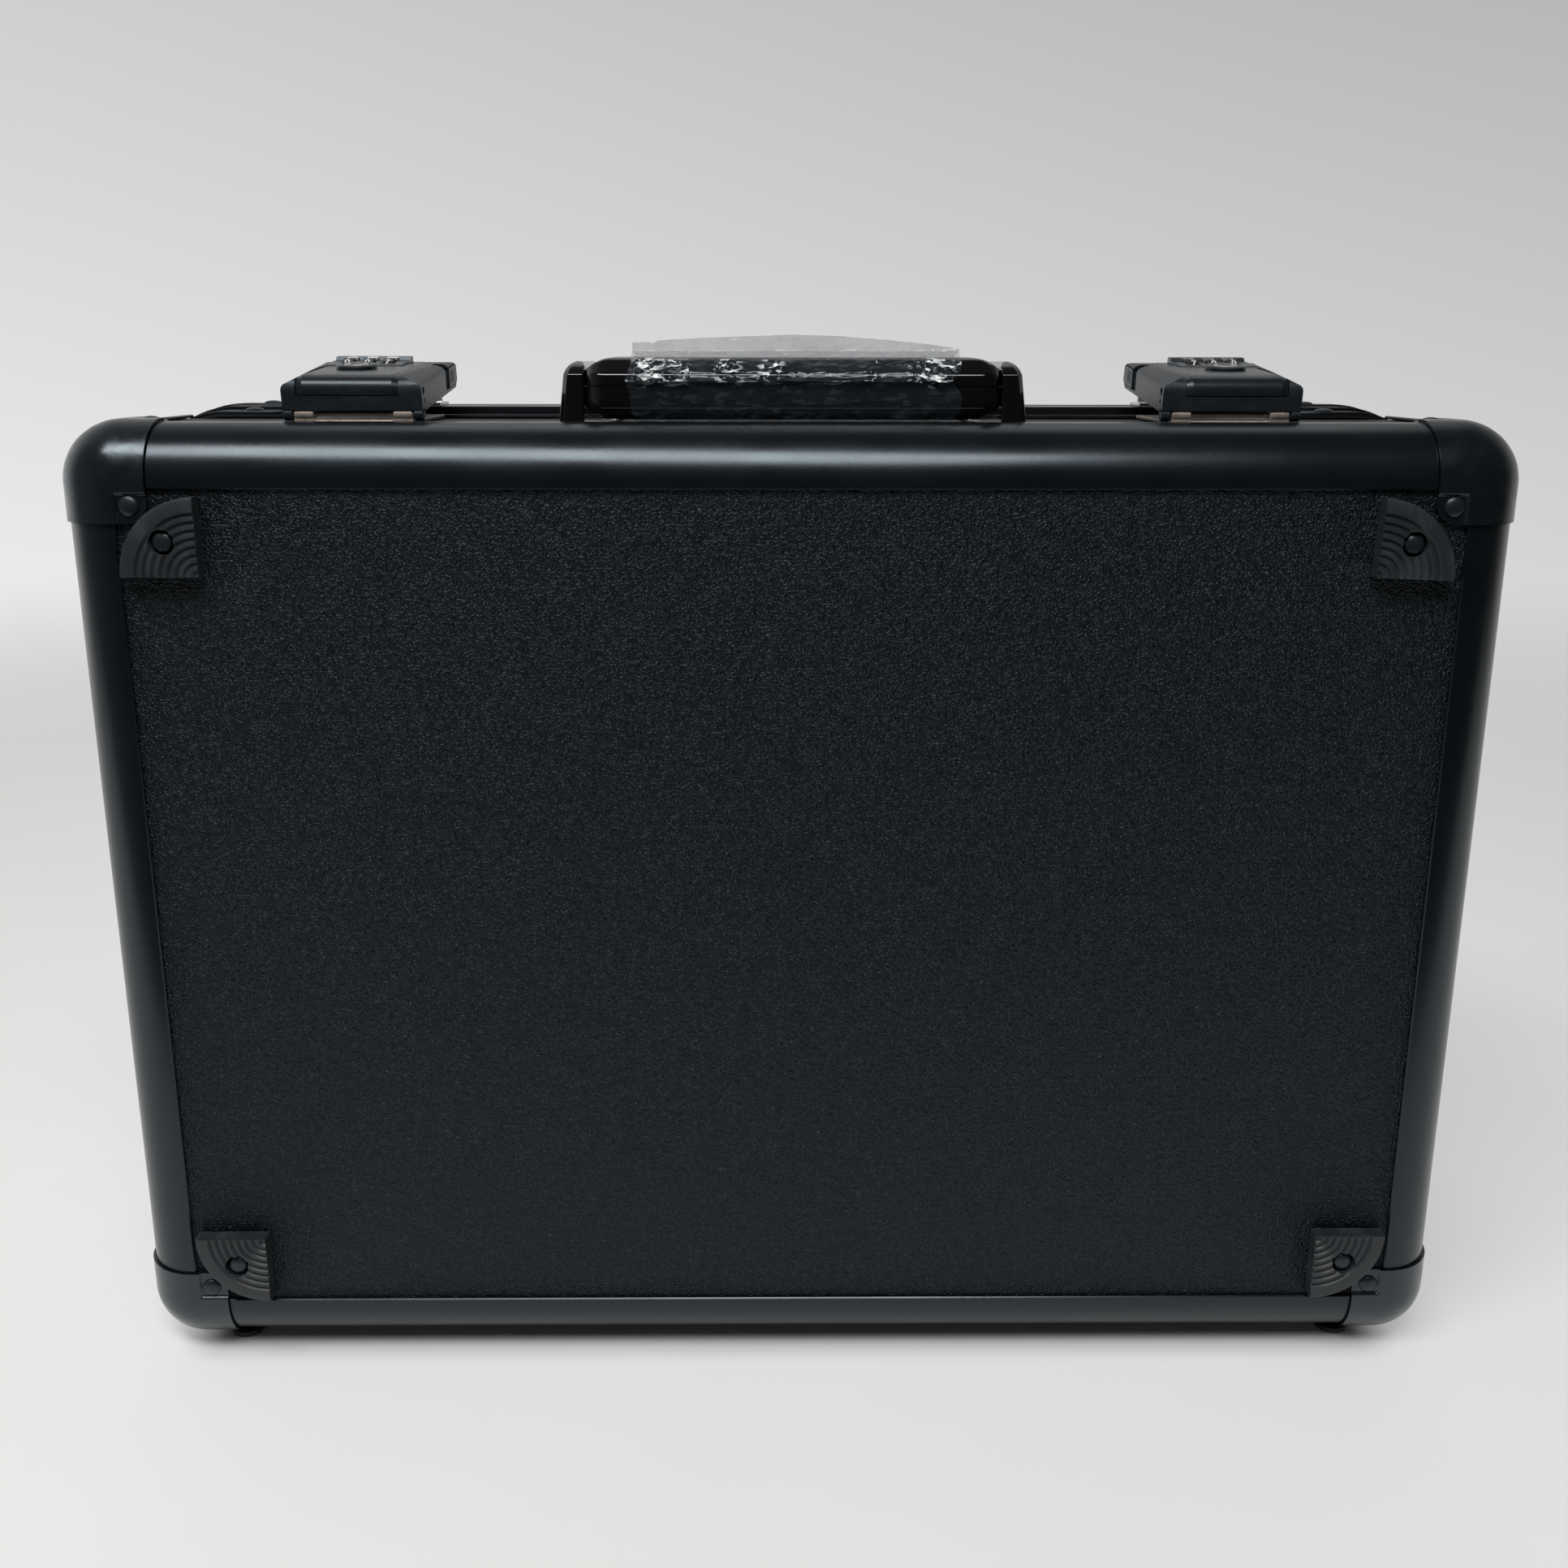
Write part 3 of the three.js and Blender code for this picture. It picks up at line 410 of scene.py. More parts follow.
@dataclass(frozen=True)
class MouldedRubber(Finish):
    """Dull moulded rubber, with dusty smears."""

    def dress(self, graph: Graph) -> None:
        """Smears of dust over a fine dull grain.

        Args:
            graph: the material's tree.
        """
        smear = graph.noise(6, 4, (1.0, 1.0, 0.45)).ramped(0.42, 0.72)
        grain = graph.noise(0.3, 2)
        dusty = tuple(1.9 * c + 0.003 for c in self.colour)
        graph.set(
            Base_Color=(smear * 0.6 + grain * 0.2).between(self.colour, dusty),
            Roughness=smear.spread(self.roughness, self.roughness + 0.15),
        )
        graph.relief(grain, 0.03)


@dataclass(frozen=True)
class CellFoam(Finish):
    """Cut closed-cell foam."""

    def dress(self, graph: Graph) -> None:
        """Small round cells dented in as pits, with painted shade in each pit's middle, and darker soft
        patches.

        Args:
            graph: the material's tree.
        """
        cells = graph.pebbles(0.9, 0.2)
        # Painted shade: the middles of the cells, the low points of the bump, are darkened
        painted_pit_shade = cells.ramped(0.25, 0.05)
        soft = graph.noise(14, 3)
        graph.set(
            Base_Color=(painted_pit_shade * 0.5 + soft * 0.4).between(self.colour, scaled(self.colour, 0.4)),
            Roughness=self.roughness,
            Sheen_Weight=0.25,
        )
        graph.relief(cells + soft * 0.3, 0.25)


@dataclass(frozen=True)
class GlossMoulding(Finish):
    """Polished black moulding with faint handling marks."""

    def dress(self, graph: Graph) -> None:
        """A clear gloss, dulled a little where it was handled.

        Args:
            graph: the material's tree.
        """
        marks = graph.noise(9, 4, (0.5, 1.0, 1.0)).ramped(0.48, 0.75)
        scuffs = graph.noise(0.9, 3, (0.12, 1.0, 1.0)).ramped(0.68, 0.74)
        graph.set(
            Base_Color=(scuffs * 0.3).between(self.colour, (0.03, 0.031, 0.033)),
            Roughness=marks * 0.07 + scuffs * 0.10 + self.roughness,
            Coat_Weight=0.35,
            Coat_Roughness=0.05,
        )
        graph.relief(graph.noise(12, 1) + scuffs * 0.01, 0.06)


@dataclass(frozen=True)
class GrainedMoulding(Finish):
    """Black moulding with a spark-eroded grain."""

    grain: float = 0.7
    relief_depth: float = 0.05
    shine: float = 0.38

    def dress(self, graph: Graph) -> None:
        """Fine grain, with greyer rubbed patches.

        Args:
            graph: the material's tree.
        """
        grain = graph.noise(self.grain, 3)
        rubbed = graph.noise(5, 4, (1.0, 0.6, 1.0)).ramped(0.46, 0.7)
        graph.set(
            Base_Color=(rubbed * 0.5 + grain * 0.3).between(self.colour, scaled(self.colour, 1.9)),
            Roughness=grain.spread(self.roughness - 0.06, self.roughness + 0.08),
            Specular_IOR_Level=self.shine,
            Specular_Tint=COOL,
        )
        graph.relief(grain, self.relief_depth)


@dataclass(frozen=True)
class PlatedMetal(Finish):
    """Plated or coated metal, drawn along X, with darker stains."""

    metallic: float = 0.9
    stain: Colour = (0.03, 0.025, 0.02)
    stain_share: float = 0.4

    def dress(self, graph: Graph) -> None:
        """Fine drawing lines and blotchy stains.

        Args:
            graph: the material's tree.
        """
        lines = graph.noise(0.35, 3, (0.15, 1.0, 1.0))
        blotch = graph.noise(2.6, 4).ramped(0.42, 0.68)
        graph.set(
            Base_Color=(blotch * self.stain_share).between(self.colour, self.stain),
            Metallic=self.metallic,
            Roughness=lines.spread(self.roughness - 0.08, self.roughness + 0.1) + blotch * 0.08,
        )
        graph.relief(lines, 0.012)


@dataclass(frozen=True)
class PlainPaint(Finish):
    """Printed or moulded-in colour, slightly uneven."""

    def dress(self, graph: Graph) -> None:
        """Even colour with a trace of grain.

        Args:
            graph: the material's tree.
        """
        grain = graph.noise(0.3, 2)
        graph.set(
            Base_Color=grain.between(scaled(self.colour, 0.82), self.colour),
            Roughness=grain.spread(self.roughness, self.roughness + 0.1),
        )


@dataclass(frozen=True)
class ClearFilm(Finish):
    """Thin clear film, smoky against the light, with painted highlights along its creases."""

    # The middle in X and the width of each stretch with painted highlights on its creases, and where
    # these fade in height
    crumpled: tuple[tuple[float, float], ...] = (
        (-45.0, 6.0), (-36.0, 4.0), (-20.0, 5.0), (-7.0, 5.0), (42.0, 7.0), (49.0, 5.0),
    )
    fade_in: tuple[float, float] = (329.0, 331.5)
    fade_out: tuple[float, float] = (337.5, 339.5)

    def dress(self, graph: Graph) -> None:
        """Nearly clear face on, denser at a glance, with painted highlights in white along its creases.

        Args:
            graph: the material's tree.
        """
        rim = graph.node("ShaderNodeLayerWeight", inputs={"Blend": 0.3}, output="Facing")
        cloudy = graph.noise(9, 4, (0.35, 1.0, 1.0)).ramped(0.45, 0.75)
        folds = graph.noise(4.2, 2, (0.7, 1.0, 1.4))
        facets = {"Vector": graph.place * (0.3, 0.6, 0.85) + folds * 1.5, "Scale": 1.0}
        facet = graph.node("ShaderNodeTexVoronoi", {"feature": "F1"}, facets, "Color")
        edge = graph.node("ShaderNodeTexVoronoi", {"feature": "DISTANCE_TO_EDGE"}, facets)
        shard_highlight = facet.ramped(0.58, 0.70) * folds.ramped(0.40, 0.52)
        line = shard_highlight + (1 - edge.ramped(0.0, 0.035)) * folds.ramped(0.5, 0.6) * 0.6
        x = graph.along("X")
        near = 0.0
        for centre, width in self.crumpled:
            near = (1 - ((x - centre) * (1 / width)) ** 2).largest(near)
        z = graph.along("Z")
        height = z.ramped(*self.fade_in) * (1 - z.ramped(*self.fade_out))
        # Painted highlight: the creases' mask turns the colour white and the film opaque, in place of
        # glints of the light
        crease_highlight = line * (near * height + 0.06)
        graph.set(
            Base_Color=crease_highlight.between(self.colour, (0.85, 0.87, 0.88)),
            Roughness=cloudy.spread(self.roughness, self.roughness + 0.08),
            Alpha=rim * 0.3 + cloudy * 0.07 + crease_highlight * 0.75 + 0.19,
            Specular_IOR_Level=1.0,
        )
        graph.relief(folds + graph.noise(2.2, 2) * 0.3, 0.5)


PEBBLE = PebbleSheet("pebble_sheet", "pebble_sheet", (0.0022, 0.0039, 0.0054), 0.37)
RAIL = CoatedExtrusion("satin_rail", "satin_rail", (0.0050, 0.0068, 0.0085), 0.22)
FRAME = CoatedExtrusion("frame_black", "frame_black", (0.006, 0.0066, 0.0078), 0.21)
CAP = CapPaint("cap_paint", "corner_cap", (0.0060, 0.0078, 0.0092), 0.22)
RIVET = CoatedExtrusion("rivet_black", "rivet_black", (0.013, 0.0155, 0.018), 0.34)
FOOT = MouldedRubber("foot_rubber", "foot_rubber", (0.0145, 0.0185, 0.0215), 0.5)
STUD = MouldedRubber("stud_rubber", "stand_rubber", (0.010, 0.010, 0.011), 0.6)
FOAM = CellFoam("cell_foam", "foam", (0.020, 0.020, 0.021), 0.95)
HINGE = PlatedMetal(
    "hinge_steel", "hinge_steel", (0.020, 0.021, 0.023), 0.36, 0.3, (0.008, 0.008, 0.009)
)
HANDLE = GlossMoulding("gloss_handle", "handle_plastic", (0.0035, 0.0036, 0.0042), 0.05)
LATCH = GrainedMoulding("latch_moulding", "latch_body", (0.012, 0.0148, 0.0175), 0.38)
INSERT = GrainedMoulding("latch_insert", "latch_body", (0.0085, 0.011, 0.0132), 0.28, 0.8, 0.006)
BRONZE = PlatedMetal(
    "bronze_plate", "latch_plate", (0.36, 0.30, 0.255), 0.4, 0.4, (0.05, 0.035, 0.028)
)
DIAL = PlainPaint("dial_black", "dial_plastic", (0.010, 0.010, 0.011), 0.32)
DIGIT = PlainPaint("digit_white", "dial_plastic", (0.80, 0.81, 0.80), 0.4)
PLUG = PlatedMetal("plug_plating", "plug_steel", (0.62, 0.61, 0.58), 0.22, 1.0, (0.20, 0.18, 0.15), 0.3)
ZINC = PlatedMetal("zinc_strike", "strike_steel", (0.66, 0.67, 0.66), 0.3, 0.95, (0.3, 0.3, 0.29), 0.25)
FILM = ClearFilm("clear_film", "clear_film", (0.045, 0.06, 0.075), 0.06)


# Meshes

Placer = Callable[[float, float], Vector]
EndPlacer = Callable[[float, float, float], Vector]


def arc(centre: Point, radius: float, start: float, end: float, steps: int) -> list[Point]:
    """Points on a circular arc from one angle to another, in degrees, both ends included."""
    angles = [math.radians(start + (end - start) * i / steps) for i in range(steps + 1)]
    return [(centre[0] + radius * math.cos(a), centre[1] + radius * math.sin(a)) for a in angles]


def rod_profile(radius: float, length: float, chamfer: float = 0.0, start: float = 0.0) -> list[Point]:
    """A rod's section in (radius, height), from its axis round to its axis.

    Args:
        radius: the rod's radius.
        length: the height where it ends.
        chamfer: the size of the chamfer at both ends.
        start: the height where it starts.

    Returns:
        Points of (radius, height).
    """
    flat = radius - chamfer
    sides = [(radius, start + chamfer), (radius, length - chamfer)] if chamfer else []
    return [(0.0, start), (flat, start), *sides, (flat, length), (0.0, length)]


def smooth_step(value: float, low: float, high: float) -> float:
    """A smooth step from 0 at low to 1 at high."""
    t = min(max((value - low) / (high - low), 0.0), 1.0)
    return t * t * (3 - 2 * t)


class Draft:
    """A mesh that is being drawn, in millimetres of the frame."""

    def __init__(self) -> None:
        """Starts an empty mesh."""
        self.mesh = bmesh.new()

    def ring(self, points: Iterable[Vector]) -> Ring:
        """Adds a row of points."""
        return [self.mesh.verts.new(point) for point in points]

    def skin(self, rings: Sequence[Ring], around: bool = True, along: bool = False) -> None:
        """Joins rows of points with faces.

        Args:
            rings: the rows, all of one length.
            around: whether each row closes on itself.
            along: whether the last row joins the first.
        """
        count = len(rings[0])
        last = len(rings) if along else len(rings) - 1
        for i in range(last):
            here, there = rings[i], rings[(i + 1) % len(rings)]
            for j in range(count if around else count - 1):
                k = (j + 1) % count
                self.mesh.faces.new((here[j], here[k], there[k], there[j]))

    def close_ends(self, rings: Sequence[Ring]) -> None:
        """Closes the first and the last row with a face each."""
        self.mesh.faces.new(rings[0])
        self.mesh.faces.new(list(reversed(rings[-1])))

    def solid(self, rings: Sequence[Ring]) -> None:
        """Joins rows that close on themselves into a solid."""
        self.skin(rings)
        self.close_ends(rings)

    def sweep(self, section: Sequence[Point], places: Sequence[Placer], loop: bool = False) -> None:
        """Draws a closed section along several places.

        Args:
            section: the section's points.
            places: what puts a section's point into space, at each station.
            loop: whether the sweep closes on itself; otherwise its ends are capped.
        """
        rings = [self.ring(place(u, v) for u, v in section) for place in places]
        if loop:
            self.skin(rings, along=True)
        else:
            self.solid(rings)

    def prism(self, outline: Sequence[Point], ends: tuple[float, float], spot: EndPlacer) -> None:
        """Draws an outline straight from one end to the other.

        Args:
            outline: the outline's points.
            ends: where the solid starts and ends.
            spot: what puts a point of the outline into space at an end.
        """
        self.sweep(outline, [lambda u, v, end=end: spot(u, v, end) for end in ends])

    def revolve(
        self,
        profile: Sequence[Point],
        place: Matrix,
        steps: int = 32,
        turn: float = 360.0,
        hollow: bool = False,
    ) -> None:
        """Turns a profile of (radius, height) about the local Z of a place.

        Args:
            profile: the points, the first and the last on the axis unless it is hollow.
            place: where the axis is, in millimetres.
            steps: the number of steps in the turn.
            turn: the angle turned, in degrees.
            hollow: whether the profile closes on itself, clear of the axis.
        """
        full = turn >= 360
        rings = []
        for i in range(steps if full else steps + 1):
            angle = math.radians(turn * i / steps)
            rings.append(
                self.ring(
                    place @ Vector((r * math.cos(angle), r * math.sin(angle), h)) for r, h in profile
                )
            )
        self.skin(rings, around=hollow, along=full)
        if not full:
            self.close_ends(rings)

    def block(self, low: Sequence[float], high: Sequence[float], place: Matrix = Matrix()) -> None:
        """Adds a box between two corners.

        Args:
            low: its lowest corner.
            high: its highest corner.
            place: where it stands.
        """
        made = bmesh.ops.create_cube(self.mesh, size=1.0)
        size = Vector(high) - Vector(low)
        middle = (Vector(high) + Vector(low)) / 2
        fit = place @ Matrix.Translation(middle) @ Matrix.Diagonal((*size, 1.0))
        bmesh.ops.transform(self.mesh, matrix=fit, verts=made["verts"])

    def tidy(self, distance: float = 0.001) -> None:
        """Merges double points, drops flat faces and turns the faces outward.

        Args:
            distance: the distance under which points are one.
        """
        bmesh.ops.remove_doubles(self.mesh, verts=self.mesh.verts, dist=distance)
        bmesh.ops.dissolve_degenerate(self.mesh, edges=self.mesh.edges, dist=distance / 2)
        bmesh.ops.recalc_face_normals(self.mesh, faces=self.mesh.faces)

    def to_object(self, name: str) -> bpy.types.Object:
        """Turns the draft into an object, in metres.

        Args:
            name: the object's name.

        Returns:
            The object.
        """
        self.tidy()
        bmesh.ops.scale(self.mesh, vec=(MM,) * 3, verts=self.mesh.verts)
        mesh = bpy.data.meshes.new(name)
        self.mesh.to_mesh(mesh)
        self.mesh.free()
        made = bpy.data.objects.new(name, mesh)
        bpy.context.scene.collection.objects.link(made)
        return made


def sliced(mesh: bmesh.types.BMesh, point: Point3, normal: Point3, merge: float) -> None:
    """Adds edges where a plane cuts a mesh, or moves onto points nearer than merge."""
    parts = mesh.verts[:] + mesh.edges[:] + mesh.faces[:]
    bmesh.ops.bisect_plane(mesh, geom=parts, dist=merge, plane_co=point, plane_no=normal)


def modified(made: bpy.types.Object, kind: str, **settings: object) -> None:
    """Adds a modifier.

    Args:
        made: the object.
        kind: the modifier's type.
        settings: its properties.
    """
    modifier = made.modifiers.new(kind.lower(), kind)
    for key, value in settings.items():
        setattr(modifier, key, value)


def baked(made: bpy.types.Object) -> None:
    """Applies an object's modifiers to its mesh.

    Args:
        made: the object.
    """
    graph = bpy.context.evaluated_depsgraph_get()
    mesh = bpy.data.meshes.new_from_object(made.evaluated_get(graph))
    old = made.data
    made.modifiers.clear()
    made.data = mesh
    bpy.data.meshes.remove(old)


class Cut(Enum):
    """What a second solid does to the first."""

    AWAY = "DIFFERENCE"
    JOINED = "UNION"
    SHARED = "INTERSECT"


def carved(made: bpy.types.Object, cutter: Draft, cut: Cut = Cut.AWAY) -> None:
    """Cuts an object with a solid, or joins the two.

    Args:
        made: the object.
        cutter: the solid that cuts it, or that is added.
        cut: what the cutter does.
    """
    tool = cutter.to_object("cutter")
    modified(made, "BOOLEAN", object=tool, operation=cut.value, solver="EXACT")
    baked(made)
    mesh = tool.data
    bpy.data.objects.remove(tool)
    bpy.data.meshes.remove(mesh)


def bevelled(made: bpy.types.Object, width: float, segments: int = 2, angle: float = 30) -> None:
    """Rounds an object's sharp edges.

    Args:
        made: the object.
        width: the width of the rounding, in millimetres.
        segments: its steps.
        angle: the least angle of an edge that is rounded, in degrees.
    """
    modified(
        made,
        "BEVEL",
        width=width * MM,
        segments=segments,
        limit_method="ANGLE",
        angle_limit=math.radians(angle),
        use_clamp_overlap=True,
        harden_normals=True,
    )


def placed(
    made: bpy.types.Object,
    finish: Finish,
    body: str,
    replaces: Sequence[str] = (),
    sharp: float = 32,
) -> None:
    """Dresses a piece and sets it on its body.

    Args:
        made: the piece.
        finish: its finish.
        body: the body that it rides on.
        replaces: the nodes that it stands for.
        sharp: the least angle of an edge that stays sharp, in degrees.
    """
    mesh = made.data
    mesh.shade_smooth()
    mesh.set_sharp_from_angle(angle=math.radians(sharp))
    mesh.materials.clear()
    mesh.materials.append(finish.material())
    if replaces:
        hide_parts(*replaces)
    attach(made, body)
    log.info("%s rides on %s with %d faces", made.name, body, len(mesh.polygons))


def dress_node(node: str, finish: Finish) -> None:
    """Gives a node of the frame its finish.

    Args:
        node: the node.
        finish: its finish.
    """
    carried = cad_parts[node]
    carried.data.materials.clear()
    carried.data.materials.append(finish.material())
    log.info("%s is dressed in %s", node, finish.name)


# Shells


@dataclass(frozen=True)
class Shell:
    """One half of the case; depth runs inward from its outer face."""

    body: str
    face_y: float
    inward: int

    def y(self, depth: float) -> float:
        """The place in Y of a depth."""
        return self.face_y + self.inward * depth


CORNERS = (
    ("top_left", -1, 1),
    ("top_right", 1, 1),
    ("bottom_left", -1, -1),
    ("bottom_right", 1, -1),
)

# The corners again, in the order of the quarters of a turn
QUARTERS = ((1, 1), (-1, 1), (-1, -1), (1, -1))

# The room left between neighbouring pieces
GAP = 0.3
CAP_LENGTH = 29.7
HINGE_AXIS_Z = 3.6
KNUCKLE_RADIUS = 2.0
# How far above its axis the hinge's leaves start
LEAF_RISE = 1.4
HALF_WIDTH = node_box("base_rail_right")[1].x
BOTTOM_Z = node_box("base_rail_bottom")[0].z
TOP_Z = node_box("base_rail_top")[1].z
MID_Z = (BOTTOM_Z + TOP_Z) / 2
HALF_HEIGHT = (TOP_Z - BOTTOM_Z) / 2
BASE = Shell("base", node_box("base_rail_top")[0].y, 1)
LID = Shell("lid", node_box("lid_rail_top")[1].y, -1)
SHELLS = (BASE, LID)


def corner_place(shell: Shell, side_x: int, side_z: int) -> Matrix:
    """A frame at one outer corner: X inward across, Y inward in depth, Z inward in height.

    Args:
        shell: the shell.
        side_x: -1 for left, 1 for right.
        side_z: -1 for bottom, 1 for top.

    Returns:
        The frame, in millimetres.
    """
    columns = Matrix(((-side_x, 0, 0), (0, shell.inward, 0), (0, 0, -side_z)))
    place = columns.to_4x4()
    place.translation = (side_x * HALF_WIDTH, shell.face_y, MID_Z + side_z * HALF_HEIGHT)
    return place


@dataclass
class RivetHead:
    """A domed rivet head."""

    radius: float = 3.2
    height: float = 1.35
    steps: int = 28

    def draw(self, draft: Draft, place: Matrix) -> None:
        """Adds the head, its flat side at the place and its dome along local Z.

        Args:
            draft: the draft that it is added to.
            place: the middle of its flat side.
        """
        rings, start, seat = 7, 12, -0.05
        profile = [(0.0, seat), (self.radius * 0.97, seat)]
        for i in range(rings):
            angle = math.radians(start + (90 - start) * i / (rings - 1))
            profile.append((self.radius * math.cos(angle), self.height * math.sin(angle)))
        profile[-1] = (0.0, self.height)
        draft.revolve(profile, place, self.steps)


def sideways(sign: int = 1) -> Matrix:
    """A turn that points local Z to the right, or to the left for a sign of -1."""
    return Matrix.Rotation(math.radians(90 * sign), 4, "Y")


def facing(place: Sequence[float], direction: Sequence[float]) -> Matrix:
    """A frame at a place, with its Z along a direction."""
    turn = Vector(direction).to_track_quat("Z", "Y").to_matrix().to_4x4()
    return Matrix.Translation(place) @ turn


@dataclass
class EdgeExtrusions:
    """The rails along the outer edges and the posts along the depth."""

    lip_width: float = 19.3
    lip_thick: float = 1.0
    round_radius: float = 18.4
    slot_back: float = 15.1
    flange_outer: float = 5.6
    flange_thick: float = 1.2
    flange_past_lip: float = 0.7
    web: float = 14.0
    lip_chamfer: float = 0.35
    arc_steps: int = 32

    def section(self) -> list[Point]:
        """The extrusion's section, from its two outer faces inward.

        Returns:
            The section's points.
        """
        lip, thick, slot = self.lip_width, self.lip_thick, self.slot_back
        outer, inner = self.flange_outer, self.flange_outer + self.flange_thick
        end, cut = lip + self.flange_past_lip, self.lip_chamfer
        nose = (self.round_radius, self.round_radius)
        points = [(lip, thick), (lip, cut), (lip - cut, 0.0)]
        points += arc(nose, self.round_radius, 270, 180, self.arc_steps)
        points += [(0.0, lip - cut), (cut, lip), (thick, lip), (thick, slot), (outer, slot)]
        points += [(outer, end), (inner, end), (inner, self.web), (self.web, inner)]
        points += [(end, inner), (end, outer), (slot, outer), (slot, thick)]
        return points

    def build(self) -> None:
        """Draws every rail and post."""
        for shell in SHELLS:
            for label, sign in (("top", 1), ("bottom", -1)):
                edge = MID_Z + sign * HALF_HEIGHT
                reach = HALF_WIDTH - CAP_LENGTH - GAP
                self.draw(
                    f"{shell.body}_rail_{label}", shell, (-reach, reach),
                    lambda u, v, x: Vector((x, shell.y(v), edge - sign * u)),
                )
            for label, sign in (("left", -1), ("right", 1)):
                edge = sign * HALF_WIDTH
                reach = HALF_HEIGHT - CAP_LENGTH - GAP
                self.draw(
                    f"{shell.body}_rail_{label}", shell, (-reach, reach),
                    lambda u, v, z: Vector((edge - sign * u, shell.y(v), MID_Z + z)),
                )
        for label, side_x, side_z in CORNERS:
            low, high = node_box(f"base_post_{label}")
            self.draw(
                f"base_post_{label}", BASE, (low.y, high.y),
                lambda u, v, y: Vector(
                    (side_x * (HALF_WIDTH - u), y, MID_Z + side_z * (HALF_HEIGHT - v))
                ),
            )

    def draw(self, node: str, shell: Shell, ends: tuple[float, float], spot: EndPlacer) -> None:
        """Draws one extrusion in place of its node.

        Args:
            node: the node.
            shell: the shell that carries it.
            ends: where the extrusion starts and ends.
            spot: what puts a point of its section into space at an end.
        """
        draft = Draft()
        draft.prism(self.section(), ends, spot)
        placed(draft.to_object(f"{node}_fine"), RAIL, shell.body, [node], sharp=40)


